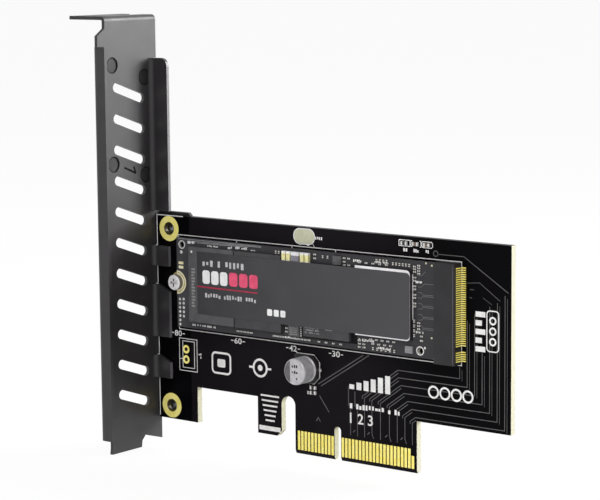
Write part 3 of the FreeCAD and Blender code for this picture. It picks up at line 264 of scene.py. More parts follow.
def rounded(box: Box, radius: float, steps: int = 6) -> np.ndarray:
    """Outline of a rectangle with round corners, anticlockwise.

    Args:
        box: its left, bottom, right and top.
        radius: the corners' radius.
        steps: how many chords make a corner.

    Returns:
        (n, 2) points.
    """
    left, bottom, right, top = box
    turn = np.linspace(0, math.pi / 2, steps + 1)
    quarter = radius * np.stack((np.cos(turn), np.sin(turn)), 1)
    turns = np.array((((1, 0), (0, 1)), ((0, 1), (-1, 0)), ((-1, 0), (0, -1)), ((0, -1), (1, 0))))
    centres = [(right - radius, top - radius), (left + radius, top - radius),
               (left + radius, bottom + radius), (right - radius, bottom + radius)]
    return np.vstack([quarter @ spin + centre for spin, centre in zip(turns, centres)])


def arc(centre: Spot, radius: float, start: float, end: float, steps: int) -> np.ndarray:
    """Points along an arc, from one angle to another, in degrees."""
    angle = np.radians(np.linspace(start, end, steps + 1))
    return radius * np.stack((np.cos(angle), np.sin(angle)), 1) + centre


def placed(name: str, data: bpy.types.ID) -> bpy.types.Object:
    """An object of the scene that shows a mesh, a text, a lamp or a lens.

    Args:
        name: its name.
        data: what it shows.

    Returns:
        The object.
    """
    made = bpy.data.objects.new(name, data)
    bpy.context.scene.collection.objects.link(made)
    return made


def numerals(text: str, box: Box, high: float) -> Shape:
    """Plain numerals in Blender's own letter form, stretched to fill a place.

    Args:
        text: the digits.
        box: the left, bottom, right and top of the place.
        high: how far the print stands out of its face.

    Returns:
        The numerals as a shape.
    """
    font = bpy.data.curves.new("numerals", "FONT")
    font.body = text
    font.extrude = 0.5
    font.offset = 0.012
    font.resolution_u = 3
    holder = placed("numerals", font)
    bpy.context.view_layer.update()
    shown = holder.evaluated_get(bpy.context.evaluated_depsgraph_get())
    mesh = bpy.data.meshes.new_from_object(shown)
    points = np.zeros(len(mesh.vertices) * 3)
    mesh.vertices.foreach_get("co", points)
    points = points.reshape(-1, 3)
    faces = [list(face.vertices) for face in mesh.polygons]
    bpy.data.objects.remove(holder)
    bpy.data.curves.remove(font)
    bpy.data.meshes.remove(mesh)
    left, bottom, right, top = box
    share = (points - points.min(0)) / np.ptp(points, axis=0)
    return Shape(share * (right - left, top - bottom, high) + (left, bottom, 0), faces)


def word_blocks(box: Box, seed: int, high: float, share: float = 0.62) -> Shape:
    """A line of upright blocks that stands where a line of small print would.

    Args:
        box: the line's left, bottom, right and top.
        seed: picks which blocks are wide, low or left out.
        high: how far the print stands out of its face.
        share: how much of its cell a block fills.

    Returns:
        The blocks as a shape.
    """
    left, bottom, right, top = box
    draw = np.random.default_rng(seed)
    tall = top - bottom
    count = max(2, round((right - left) / (tall * 0.78)))
    pitch = (right - left) / count
    start = left + pitch * np.arange(count)
    wide = pitch * share * draw.uniform(0.75, 1.15, count)
    foot = bottom + tall * draw.choice((0.0, 0.0, 0.22), count)
    head = top - tall * draw.choice((0.0, 0.0, 0.28), count)
    kept = draw.random(count) > 0.1
    lows = np.stack((start, foot, np.zeros(count)), 1)[kept]
    highs = np.stack((start + wide, head, np.full(count, high)), 1)[kept]
    return blocks(lows, highs)


# ---------------------------------------------------------------- finishes

def linear(colour: Colour) -> tuple[float, float, float, float]:
    """Turns a screen colour into the light that it stands for.

    Args:
        colour: red, green and blue, from 0 to 255.

    Returns:
        Their light, from 0 to 1, with full cover.
    """
    share = np.array(colour) / 255
    light = np.where(share <= 0.04045, share / 12.92, ((share + 0.055) / 1.055) ** 2.4)
    return (*light.tolist(), 1.0)


class Nodes:
    """A node tree, with short calls for the nodes that the finishes and the studio use."""

    def __init__(self, tree: bpy.types.NodeTree) -> None:
        """Gives the tree a source of coordinates."""
        self.tree = tree
        self.source = self.add("TexCoord").outputs

    def feed(self, node: bpy.types.Node, feeds: dict[str | int, Value]) -> None:
        """Joins an output to each of a node's named or numbered inputs, or sets it.

        Args:
            node: the node.
            feeds: an output or a value for each input, by its name or number.
        """
        for key, value in feeds.items():
            if isinstance(value, Socket):
                self.tree.links.new(value, node.inputs[key])
            else:
                node.inputs[key].default_value = value

    def add(self, kind: str, feeds: dict[str | int, Value] | None = None,
            **settings: str) -> bpy.types.Node:
        """Adds a node.

        Args:
            kind: its type, without the word that the types of all shader nodes start with.
            feeds: what its inputs take.
            settings: its own properties.

        Returns:
            The node.
        """
        node = self.tree.nodes.new("ShaderNode" + kind)
        for key, setting in settings.items():
            setattr(node, key, setting)
        self.feed(node, feeds or {})
        return node

    def noise(self, size: float, detail: float = 3.0, stretch: Triple = (1, 1, 1)) -> Socket:
        """Soft noise on the object's coordinates.

        Args:
            size: how wide its patches are, in millimetres.
            detail: how many finer layers it has.
            stretch: how much faster it changes along each axis.

        Returns:
            The noise, about 0.3 to 0.7.
        """
        mapping = self.add("Mapping", {"Scale": stretch, "Vector": self.source["Object"]})
        return self.add("TexNoise", {"Scale": 1 / (size * MM), "Detail": detail,
                                     "Vector": mapping.outputs["Vector"]}).outputs["Fac"]

    def axis(self, output: str, name: str) -> Socket:
        """One axis of the coordinates or the normal."""
        return self.add("SeparateXYZ", {0: self.source[output]}).outputs[name]

    def span(self, value: Socket, low: float, high: float, out_low: float = 0.0,
             out_high: float = 1.0) -> Socket:
        """Moves a value from one range to another, clamped."""
        return self.add("MapRange", {"Value": value, "From Min": low, "From Max": high,
                                     "To Min": out_low, "To Max": out_high}).outputs["Result"]

    def math(self, operation: str, first: Socket, second: Value = 0.0) -> Socket:
        """One sum of two values."""
        return self.add("Math", {0: first, 1: second}, operation=operation).outputs["Value"]

    def above(self, output: str, name: str, limit: float) -> Socket:
        """1 where one axis of the coordinates or the normal is more than a limit."""
        return self.math("GREATER_THAN", self.axis(output, name), limit)

    def facing(self, name: str, limit: float) -> Socket:
        """1 where the surface looks along an axis, either way, within a limit."""
        return self.math("GREATER_THAN", self.math("ABSOLUTE", self.axis("Normal", name)), limit)

    def between(self, share: Socket, first: Value, second: Value) -> Socket:
        """A number between two others: the first at a share of 0, the second at 1."""
        return self.add("Mix", {0: share, 2: first, 3: second}).outputs[0]

    def mixed(self, share: Socket, first: Socket | Colour, second: Socket | Colour) -> Socket:
        """A colour between two others: the first at a share of 0, the second at 1.

        Args:
            share: how much of the second there is.
            first: a colour, or a socket that gives one.
            second: the same.

        Returns:
            The mixed colour.
        """
        tones = [linear(tone) if isinstance(tone, tuple) else tone for tone in (first, second)]
        feeds = {0: share, 6: tones[0], 7: tones[1]}
        return self.add("Mix", feeds, data_type="RGBA").outputs[2]


class Recipe(Nodes):
    """The node tree of one material."""

    def __init__(self, name: str) -> None:
        """Starts a material that has only its shader.

        Args:
            name: the material's name.
        """
        self.material = bpy.data.materials.new(name)
        self.material.use_nodes = True
        super().__init__(self.material.node_tree)
        self.shader = self.tree.nodes["Principled BSDF"]


@dataclass(frozen=True)
class Finish:
    """A surface of one stuff: its colour, how it mottles, its gloss and its grain."""

    name: str
    slot: str
    colour: Colour
    mottle: Colour
    patch: float = 1.0
    grain: float = 0.12
    relief: float = 0.01
    roughness: Span = (0.4, 0.55)
    specular: float = 0.5
    metallic: float = 0.0

    def material(self) -> bpy.types.Material:
        """The finish as a material, made the first time it is asked for."""
        made = bpy.data.materials.get(self.name)
        if made:
            return made
        recipe = Recipe(self.name)
        bump = recipe.add("Bump", {"Distance": self.relief * MM, "Height": self.height(recipe)})
        recipe.feed(recipe.shader, {"Metallic": self.metallic, "Specular IOR Level": self.specular,
                                    "Base Color": self.tint(recipe),
                                    "Roughness": self.gloss(recipe),
                                    "Normal": bump.outputs["Normal"]})
        return recipe.material

    def tint(self, recipe: Recipe) -> Socket:
        """The colour: two tones, in soft patches."""
        patches = recipe.span(recipe.noise(self.patch), *NOISE_SPAN)
        return recipe.mixed(patches, self.colour, self.mottle)

    def gloss(self, recipe: Recipe) -> Socket:
        """The roughness, which varies over the surface."""
        return recipe.span(recipe.noise(self.patch * 0.6, 5), *NOISE_SPAN, *self.roughness)

    def height(self, recipe: Recipe) -> Socket:
        """The grain: fine noise all over."""
        return recipe.noise(self.grain, 4)


@dataclass(frozen=True)
class BoardInk(Finish):
    """Matt ink printed on a board."""

    relief: float = 0.005
    roughness: Span = (0.5, 0.65)
    specular: float = 0.3


@dataclass(frozen=True)
class SatinInk(Finish):
    """Satin ink printed on film or on metal."""

    patch: float = 1.5
    grain: float = 0.1
    relief: float = 0.004
    roughness: Span = (0.4, 0.5)
    specular: float = 0.35


@dataclass(frozen=True)
class MaskedCopper(Finish):
    """A copper line under solder mask."""

    patch: float = 3.0
    grain: float = 0.3
    relief: float = 0.004
    roughness: Span = (0.35, 0.45)
    specular: float = 0.3


@dataclass(frozen=True)
class Moulding(Finish):
    """Moulded or poured resin."""

    patch: float = 2.5
    grain: float = 0.14
    relief: float = 0.012
    roughness: Span = (0.5, 0.6)
    specular: float = 0.35


@dataclass(frozen=True)
class Laminate(Finish):
    """Printed board: mask whose copper pour lifts its tone, and bare cloth on cut edges.

    The pour has a sharp edge at `pour_start` and fades out between the places in `pour_fade`.
    """

    edge: Colour = (188, 186, 166)
    edge_band: Colour = (166, 164, 140)
    edge_limit: float = 0.6
    edge_matt: float = 0.35
    cloth: float = 0.22
    cloth_layers: Triple = (0.35, 5, 0.35)
    weave: float = 3.2
    weave_share: float = 0.25
    bare: Colour = (5, 4, 6)
    pour_start: float = -45.0
    pour_blur: float = 0.05
    pour_fade: Span = (6.0, 26.0)

    def tint(self, recipe: Recipe) -> Socket:
        """Mask in two tones over the pour, bare mask beside it, and layered cloth on edges.

        Args:
            recipe: the node tree that it is made in.

        Returns:
            The colour.
        """
        place = recipe.axis("Object", "X")
        start = recipe.span(place, (self.pour_start - self.pour_blur) * MM,
                            (self.pour_start + self.pour_blur) * MM)
        end = recipe.span(place, self.pour_fade[0] * MM, self.pour_fade[1] * MM, 1, 0)
        layers = recipe.span(recipe.noise(self.cloth, 2, self.cloth_layers), 0.4, 0.6)
        raw = recipe.mixed(layers, self.edge, self.edge_band)
        cut = recipe.facing("X", self.edge_limit)
        return recipe.mixed(recipe.math("MULTIPLY", start, end),
                            recipe.mixed(cut, self.bare, self.edge),
                            recipe.mixed(cut, super().tint(recipe), raw))

    def gloss(self, recipe: Recipe) -> Socket:
        """Satin mask, and matt edges."""
        edge = recipe.math("MULTIPLY", recipe.facing("X", self.edge_limit), self.edge_matt)
        return recipe.math("ADD", super().gloss(recipe), edge)

    def height(self, recipe: Recipe) -> Socket:
        """The weave of the glass cloth, which shows faintly through the mask.

        Args:
            recipe: the node tree that it is made in.

        Returns:
            The height.
        """
        weave = recipe.add("TexWave", {"Scale": 1 / (self.weave * MM), "Distortion": 1.5,
                                       "Vector": recipe.source["Object"]})
        return recipe.math("ADD", super().height(recipe),
                           recipe.math("MULTIPLY", weave.outputs["Fac"], self.weave_share))


@dataclass(frozen=True)
class SheenedFilm(Finish):
    """Printed label film, painted lighter from its left end to its right as a painted sheen."""

    # far: the lighter right-end tone, a painted sheen
    far: Colour = (66, 65, 68)
    reach: Span = (-40.0, 23.0)
    cloud: float = 14.0
    drift: float = 0.18

    def tint(self, recipe: Recipe) -> Socket:
        """The near tone on the left and the lighter far tone on the right, a painted sheen, with
        soft patches.

        Args:
            recipe: the node tree that it is made in.

        Returns:
            The colour.
        """
        along = recipe.span(recipe.axis("Object", "X"), self.reach[0] * MM, self.reach[1] * MM)
        clouds = recipe.span(recipe.noise(self.cloud, 2), 0.3, 0.7, -self.drift, self.drift)
        return recipe.mixed(recipe.math("ADD", along, clouds), super().tint(recipe), self.far)


@dataclass(frozen=True)
class Brushed(Finish):
    """Drawn or brushed metal: fine lines along one axis."""

    lines: Triple = (1, 1, 14)

    def height(self, recipe: Recipe) -> Socket:
        """Noise drawn out into lines."""
        return recipe.noise(self.grain, 3, self.lines)

    def gloss(self, recipe: Recipe) -> Socket:
        """Roughness that follows the lines."""
        lines = recipe.noise(self.grain * 2, 2, self.lines)
        return recipe.span(lines, *NOISE_SPAN, *self.roughness)


@dataclass(frozen=True)
class SideShadedMetal(Brushed):
    """Brushed metal, bright where it looks out of the board's faces, with its sides painted darker
    as shade.
    """

    # the colour of the sides, a painted shade
    side: Colour = (40, 40, 42)

    def tint(self, recipe: Recipe) -> Socket:
        """The bright tones where it looks out of the board's faces, and the side colour elsewhere, a
        painted shade.
        """
        return recipe.mixed(recipe.facing("Y", 0.5), self.side, super().tint(recipe))


@dataclass(frozen=True)
class SheetPaint(Finish):
    """Paint on folded sheet, with a painted highlight: a paler tone on the sheared ends of the
    fingers at the board.
    """

    # the paler tone painted on the fingers' ends as a highlight
    lit_end_tone: Colour = (104, 102, 105)
    lit_end_from: float = -53.5
    lit_end_depth: float = -12.0

    def tint(self, recipe: Recipe) -> Socket:
        """The paler tone, a painted highlight, where the surface looks along the card, clear of the
        face.

        Args:
            recipe: the node tree that it is made in.

        Returns:
            The colour.
        """
        clear = recipe.math("MULTIPLY", recipe.above("Normal", "X", 0.8),
                            recipe.above("Object", "X", self.lit_end_from * MM))
        ends = recipe.math("MULTIPLY", clear, recipe.above("Object", "Y", self.lit_end_depth * MM))
        return recipe.mixed(ends, super().tint(recipe), self.lit_end_tone)


class Stuff:
    """Every finish on the card."""

    BOARD = Laminate("black_solder_mask", "black_laminate", (17, 15, 18), (24, 21, 25), 22, 0.4,
                     0.004, (0.32, 0.42), 0.04)
    MODULE = Laminate("module_solder_mask", "module_laminate", (60, 59, 62), (70, 69, 72), 5, 0.3,
                      0.006, (0.35, 0.5), 0.3, edge=(188, 186, 176), edge_band=(120, 118, 108),
                      bare=(46, 45, 48), pour_start=-60.0, pour_fade=(-46.0, -30.0))
    COPPER_LINE = MaskedCopper("masked_copper", "black_laminate", (78, 77, 78), (92, 91, 90), 4,
                               roughness=(0.3, 0.4))
    MODULE_LINE = MaskedCopper("module_masked_copper", "module_laminate", (98, 97, 99),
                               (112, 110, 111))
    BRIGHT_LINE = MaskedCopper("bright_module_line", "module_laminate", (142, 141, 143),
                               (128, 127, 129), 2)
    INK = BoardInk("white_board_ink", "black_laminate", (232, 231, 230), (216, 215, 214), 1.2,
                   relief=0.006)
    # white module ink, also the painted highlight beside the carrier
    MODULE_INK_AND_HIGHLIGHT = BoardInk("white_module_ink_and_highlight", "module_laminate", (236, 235, 234), (208, 207, 206))
    FAINT_INK = replace(MODULE_INK_AND_HIGHLIGHT, name="faint_module_ink", colour=(146, 145, 145),
                        mottle=(130, 129, 129))
    WINDOW = BoardInk("bare_laminate_window", "black_laminate", (184, 184, 158), (194, 194, 168),
                      1.5, 0.2, 0.006, (0.5, 0.6))
    # the plated barrels' side colour is painted shade inside the holes
    RING_GOLD = SideShadedMetal("immersion_gold", "gold_plate", (242, 228, 122), (250, 238, 148), 1.6, 0.15,
                    0.004, (0.28, 0.42), metallic=0.1, lines=(1, 1, 1), side=(74, 64, 36))
    # the header barrels are painted near black, as shade inside the holes
    HEADER_GOLD = replace(RING_GOLD, name="header_gold", specular=0.06, metallic=0.0,
                          side=(5, 5, 4))
    # pale gold for the end ring and pads, also the painted highlight on the socket contacts' bends
    PALE_GOLD_AND_GLINT = Finish("pale_gold_and_glint", "gold_plate", (240, 236, 208), (228, 218, 172), 0.7, 0.15,
                      0.004, (0.3, 0.45), metallic=0.1)
    # a darker gold line drawn along the end ring's groove
    RING_GROOVE = Finish("dark_ring_groove_line", "gold_plate", (150, 134, 76), (128, 112, 62),
                         0.7, 0.15, 0.004, specular=0.3)
    CONTACT = Brushed("plated_contact", "contact_gold", (250, 230, 98), (252, 240, 140), 0.6, 0.1,
                      0.004, (0.25, 0.4), metallic=0.08)
    SOLDER = Finish("bright_solder", "tin_lead", (226, 226, 222), (198, 198, 196), 0.5, 0.15,
                    roughness=(0.22, 0.4), metallic=0.35)
    # the bracket's paint, with a painted highlight on the fingers' ends
    PAINT = SheetPaint("black_bracket_paint", "black_paint", (40, 38, 40), (46, 44, 46), 9, 0.35,
                       0.012, (0.38, 0.46))
    # near-black strokes and rims painted as the shade in the stamped numeral and round the pressed
    # marks
    STAMP_SHADE = Finish("stamped_mark_shade", "black_paint", (8, 8, 9), (14, 13, 14), 2, 0.3,
                   roughness=(0.6, 0.7), specular=0.06)
    # darker floors of the pressed marks, painted as shade in the recesses
    MARK_FLOOR_SHADE = Finish("pressed_mark_floor_shade", "black_paint", (30, 29, 30), (36, 35, 36), 2, 0.3,
                        roughness=(0.5, 0.6), specular=0.35)
    HOUSING = Moulding("connector_moulding", "connector_resin", (34, 33, 35), (39, 38, 41), 5,
                       0.18, roughness=(0.42, 0.55))
    SOCKET_GLINT = Moulding("connector_edge_glint", "connector_resin", (92, 91, 94),
                            (104, 103, 106), 3, 0.18, 0.006, (0.4, 0.5))
    CHIP = Moulding("moulding_compound", "chip_resin", (57, 56, 58), (65, 64, 66),
                    roughness=(0.5, 0.62))
    PALE_CHIP = replace(CHIP, name="pale_moulding_compound", colour=(76, 75, 77),
                        mottle=(86, 85, 87))
    DARK_CHIP = Moulding("dark_moulding_compound", "chip_resin", (70, 69, 71), (86, 85, 86), 1.2,
                         relief=0.01, roughness=(0.45, 0.6))
    # dark strips painted as the shade between the packages and under the memories
    PACKAGE_SHADE = Moulding("painted_package_shade", "chip_resin", (16, 15, 17), (24, 23, 25), 1.2, 0.12,
                         0.006, specular=0.08)
    CARRIER = Moulding("controller_carrier", "chip_resin", (30, 30, 31), (40, 40, 40), 1.5, 0.15,
                       0.008, specular=0.3)
    BASE = Moulding("capacitor_base_moulding", "base_resin", (30, 29, 30), (40, 39, 40), 1.5, 0.15,
                    0.01, (0.4, 0.55))
    # the lid's sides take the dark default side colour, a painted shade
    LID = SideShadedMetal("lid_plate", "lid_metal", (232, 230, 232), (216, 214, 216), 4, 0.15, 0.004,
              (0.3, 0.42), metallic=0.15, lines=(9, 1, 1))
    # the label's film, painted lighter towards its right end as sheen
    LABEL = SheenedFilm("label_film_black", "label_film", (51, 50, 53), (57, 57, 60), 9, 0.35, 0.006,
                 (0.34, 0.44), 0.3)
    LABEL_WHITE = SatinInk("label_white_ink", "label_film", (236, 236, 236), (222, 222, 222))
    LABEL_GREY = SatinInk("label_grey_ink", "label_film", (196, 196, 198), (172, 172, 175), 0.8)
    LABEL_RED = SatinInk("label_red_ink", "label_film", (226, 84, 118), (208, 70, 104))
    LABEL_LINE = SatinInk("label_dark_red_ink", "label_film", (172, 44, 70), (150, 36, 60))
    CREAM = Finish("cream_ceramic", "tan_ceramic", (226, 222, 166), (206, 198, 136), 0.6,
                   roughness=(0.35, 0.5))
    TAN = Finish("brown_ceramic", "tan_ceramic", (120, 104, 88), (96, 84, 74), 0.5, 0.1)
    FERRITE = Finish("grey_ferrite", "ferrite", (128, 126, 134), (112, 110, 118), 0.8,
                     roughness=(0.45, 0.6))
    FERRITE_CAP = Finish("pale_ferrite_cap", "ferrite", (222, 221, 224), (206, 205, 208), 0.8,
                         roughness=(0.4, 0.5))
    CRYSTAL = Finish("oscillator_lid", "lid_metal", (138, 137, 140), (118, 117, 121), 0.5,
                     relief=0.006, roughness=(0.35, 0.5), metallic=0.2)
    RESISTOR = Finish("black_resistor_glaze", "resistor_black", (28, 27, 30), (40, 39, 42), 0.6,
                      0.1, 0.006, (0.25, 0.4))
    # the screw's sides are painted darker, as shade
    SCREW = SideShadedMetal("nickel_screw", "screw_steel", (246, 244, 246), (220, 218, 220), 0.8, 0.12, 0.006,
                (0.22, 0.36), metallic=0.2, lines=(1, 6, 1), side=(112, 108, 98))
    BRASS = Brushed("plated_standoff", "screw_steel", (196, 184, 130), (170, 156, 98), 0.8, 0.12,
                    0.006, (0.25, 0.4), metallic=0.5, lines=(1, 6, 1))
    CAN = Brushed("capacitor_can_metal", "can_aluminium", (196, 194, 198), (178, 176, 180), 1.2,
                  0.12, 0.005, (0.3, 0.42), metallic=0.3, lines=(1, 8, 1))
    CAN_DARK = SatinInk("capacitor_polarity_ink", "can_aluminium", (104, 102, 104), (92, 90, 92),
                        0.8)
    CAN_INK = SatinInk("capacitor_black_ink", "can_aluminium", (28, 26, 28), (40, 38, 40), 0.5)


# ---------------------------------------------------------------- the frame and its pieces

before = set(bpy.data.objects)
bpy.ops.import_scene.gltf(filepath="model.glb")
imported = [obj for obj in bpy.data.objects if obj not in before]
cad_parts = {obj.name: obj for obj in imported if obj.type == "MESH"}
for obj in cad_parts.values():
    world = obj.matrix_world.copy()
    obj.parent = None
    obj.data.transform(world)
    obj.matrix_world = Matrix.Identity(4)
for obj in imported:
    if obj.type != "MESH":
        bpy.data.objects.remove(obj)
CAD_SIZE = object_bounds()


@dataclass(frozen=True)
class Extent:
    """The box of a CAD node, in millimetres."""

    low: Vector
    high: Vector

    @classmethod
    def of(cls, node: str) -> "Extent":
        """The box of the node of that name."""
        low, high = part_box(node)
        return cls(low / MM, high / MM)

    @property
    def front(self) -> float:
        """How far its front face stands out towards -Y."""
        return -self.low.y

    @property
    def middle(self) -> Vector:
        """Its middle."""
        return (self.low + self.high) / 2


def dress(finish: Finish, *nodes: str) -> None:
    """Gives CAD nodes a finish.

    Args:
        finish: what they are made of.
        nodes: the names of the nodes.
    """
    for node in nodes:
        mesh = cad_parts[node].data
        mesh.materials.clear()
        mesh.materials.append(finish.material())


def piece(name: str, finish: Finish, level: float, shapes: list[Shape],
          side: Side = Side.FRONT, smooth: float | None = None) -> None:
    """Makes one object of the scene, which rides with the card.

    Args:
        name: the object's name.
        finish: its finish.
        level: how far the face that it lies on is from the origin.
        shapes: what it is made of, as right, up and out.
        side: which face that is.
        smooth: the angle in degrees below which edges are shaded round, if any.
    """
    shape = joined(shapes)
    mesh = bpy.data.meshes.new(name)
    mesh.from_pydata((side.place(shape.points, level) * MM).tolist(), [], shape.faces)
    if smooth is not None:
        mesh.shade_smooth()
        mesh.set_sharp_from_angle(angle=math.radians(smooth))
    mesh.materials.append(finish.material())
    made = placed(name, mesh)
    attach(made, BODY)
    LOG.info("%s: %d faces", name, len(mesh.polygons))


def islands(node: str) -> tuple[np.ndarray, np.ndarray]:
    """The box of each separate solid in a CAD node.

    Equal corners are made one, each takes the lowest number among the corners that it shares a
    triangle with, and that is repeated until nothing changes, so a solid ends with one number.

    Args:
        node: the node's name.

    Returns:
        (n, 3) lowest and (n, 3) highest corners, in the card's frame.
    """
    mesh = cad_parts[node].data
    places = np.zeros(len(mesh.vertices) * 3)
    mesh.vertices.foreach_get("co", places)
    places = places.reshape(-1, 3) / MM
    corners = np.zeros(len(mesh.loops), int)
    mesh.loops.foreach_get("vertex_index", corners)
    same = np.unique(np.round(places, 3), axis=0, return_inverse=True)[1].ravel()
    triangles = same[corners].reshape(-1, 3)
    number = np.arange(same.max() + 1)
    while True:
        lowest = number[triangles].min(1)
        trial = number.copy()
        np.minimum.at(trial, triangles, lowest[:, None])
        if np.array_equal(trial, number):
            break
        number = trial
    owner = np.unique(number[same], return_inverse=True)[1].ravel()
    lows = np.full((owner.max() + 1, 3), np.inf)
    highs = -lows
    np.minimum.at(lows, owner, places)
    np.maximum.at(highs, owner, places)
    return lows, highs


def end_caps(node: str, share: float, proud: float) -> Shape:
    """Metal ends wrapped round the small parts of a CAD node, at the ends of their longer sides.

    Args:
        node: the node's name.
        share: how much of a part's length each end takes.
        proud: how far the metal stands out of the part.

    Returns:
        The ends, as right, up and out from the origin.
    """
    lows, highs = islands(node)
    size = highs - lows
    axis = np.where(size[:, 2] > size[:, 0], 2, 0)
    rows = np.arange(len(lows))
    reach = size[rows, axis] * share
    first_high, second_low = highs.copy(), lows.copy()
    first_high[rows, axis] = lows[rows, axis] + reach
    second_low[rows, axis] = highs[rows, axis] - reach
    low = np.vstack((lows, second_low)) - proud
    high = np.vstack((first_high, highs)) + proud
    seat = np.concatenate((highs[:, 1], highs[:, 1]))
    return blocks(np.stack((low[:, 0], low[:, 2], -seat), 1),
                  np.stack((high[:, 0], high[:, 2], -low[:, 1]), 1))


# ---------------------------------------------------------------- the adapter board

@dataclass
class BoardPrint:
    """The long black board's mask and everything that is printed on it."""

    level: float = field(init=False)
    ink: float = 0.02
    line: float = 0.2
    bold_line: float = 0.22
    frame_line: float = 0.18
    thin_line: float = 0.16
    module_box: Box = (-48.7, 26.4, 34.78, 49.77)
    module_ticks: Triple = (-30.06, -13.14, -0.31)
    module_tick: float = 0.9
    lengths: tuple[tuple[str, float, float], ...] = (
        ("80", -51.2, -47.0), ("60", -32.2, -27.8), ("42", -15.2, -11.0), ("30", -2.4, 1.7))
    length_foot: float = 24.55
    length_head: float = 25.95
    length_reach: float = 1.15
    dash_start: float = 1.4
    header_outer: Box = (-48.8, 16.1, -43.1, 24.1)
    header_inner: Box = (-47.7, 16.9, -43.95, 23.5)
    header_notch: float = 19.0
    capacitor_margin: Box = (0.2, 0.2, 0.12, 0.15)
    capacitor_corner: float = 1.7
    window: Box = (-12.5, 50.5, -6.5, 53.9)
    window_rim: float = 0.1
    part_frames: tuple[Span, ...] = ((17.74, 20.79), (21.06, 23.81), (24.05, 26.97))
    part_foot: float = 52.2
    part_head: float = 53.55
    part_turn: float = 0.35

    def build(self) -> None:
        """Dresses the board and prints it, outline by outline."""
        self.level = Extent.of("adapter_board").front
        dress(Stuff.BOARD, "adapter_board")
        self.module_outline()
        self.length_numbers()
        self.header_outline()
        self.capacitor_outline()
        self.light_window()
        self.part_outlines()
        piece("board_mark_ink", Stuff.INK, self.level, self.left_figures() + self.right_figures())

    def strip(self, path: Path, width: float | None = None, closed: bool = False) -> Shape:
        """A line of ink along a path."""
        return ribbon(path, width or self.line, self.ink, closed)

    def mark(self, box: Box, seed: int, share: float = 0.62) -> Shape:
        """A line of small blocks of ink."""
        return word_blocks(box, seed, self.ink, share)

    def module_outline(self) -> None:
        """The outline that shows where the module lies, with a tick at each shorter length."""
        top = self.module_box[3]
        frame = self.strip(corners(*self.module_box), closed=True)
        ticks = [self.strip([(x, top), (x, top - self.module_tick)]) for x in self.module_ticks]
        piece("module_outline_ink", Stuff.INK, self.level, [frame] + ticks)

    def length_numbers(self) -> None:
        """Plain numbers of the module lengths that the board takes, each between two dashes."""
        shapes = []
        height = (self.length_foot + self.length_head) / 2
        for text, left, right in self.lengths:
            middle = (left + right) / 2
            shapes.append(numerals(text, (middle - self.length_reach, self.length_foot,
                                          middle + self.length_reach, self.length_head), self.ink))
            shapes += [self.strip([(start, height), (end, height)], self.bold_line)
                       for start, end in ((left, middle - self.dash_start),
                                          (middle + self.dash_start, right))]
        piece("length_number_ink", Stuff.INK, self.level, shapes)

    def header_outline(self) -> None:
        """Two nested frames round the two-hole header, a notch between them and two marks."""
        notch = [(self.header_outer[0], self.header_notch),
                 (self.header_inner[0], self.header_notch)]
        piece("header_ink", Stuff.INK, self.level,
              [self.strip(corners(*self.header_outer), self.thin_line, True),
               self.strip(corners(*self.header_inner), self.thin_line, True),
               self.strip(notch, self.thin_line),
               self.mark((-42.6, 19.5, -41.5, 20.1), 3),
               self.mark((-42.6, 20.3, -41.5, 20.9), 4)])

    def capacitor_outline(self) -> None:
        """The chamfered frame round the capacitor's base, and the marks under it."""
        base, margin, cut = Extent.of("capacitor_base"), self.capacitor_margin, self.capacitor_corner
        left, bottom = base.low.x - margin[0], base.low.z - margin[1]
        right, top = base.high.x + margin[2], base.high.z + margin[3]
        frame = [(left, top), (right - cut, top), (right, top - cut), (right, bottom + cut),
                 (right - cut, bottom), (left, bottom)]
        marks = [self.mark((-8.9, z, -6.9, z + 0.75), 11 + i) for i, z in enumerate((16.15, 14.75))]
        piece("capacitor_ink", Stuff.INK, self.level, [self.strip(frame, self.frame_line)] + marks)

    def light_window(self) -> None:
        """The bare window where light shines through, its white outline and the marks by it."""
        left, bottom, right, top = self.window
        radius, rim = (top - bottom) / 2 - 0.01, self.window_rim
        piece("light_window_laminate", Stuff.WINDOW, self.level,
              [prism(rounded(self.window, radius, 12), self.ink)])
        outer = rounded((left - rim, bottom - rim, right + rim, top + rim), radius + rim, 12)
        piece("light_window_ink", Stuff.INK, self.level,
              [self.strip(outer, self.bold_line, True),
               self.mark((-6.2, 51.7, -4.0, 52.4), 8),
               dome((-8.36, 50.28), 0.28, 0.05),
               self.strip([(-11.0, 50.3), (-10.4, 50.3)], 0.25),
               self.strip([(-7.0, 50.66), (-6.45, 49.91)], 0.1)])

    def part_outlines(self) -> None:
        """Frames round the three small parts at the top right, with a mark under each.

        The middle frame is two brackets, the left one is square and the right one has round
        corners.
        """
        shapes = []
        bottom, top, reach = self.part_foot, self.part_head, self.part_turn
        for i, (left, right) in enumerate(self.part_frames):
            if i == 1:
                shapes += [self.strip([(x, bottom), (x + turn, bottom), (x + turn, top), (x, top)],
                                      self.thin_line)
                           for x, turn in ((left + reach, -reach), (right - reach, reach))]
            else:
                outline = rounded((left, bottom, right, top), 0.45 if i else 0.05, 4)
                shapes.append(self.strip(outline, self.frame_line, True))
            middle = (left + right) / 2
            shapes.append(self.mark((middle - 1.0 + 0.3 * i, 50.95, middle + 1.0 - 0.2 * i, 51.7),
                                    20 + i, 0.8))
        piece("part_outline_ink", Stuff.INK, self.level, shapes)

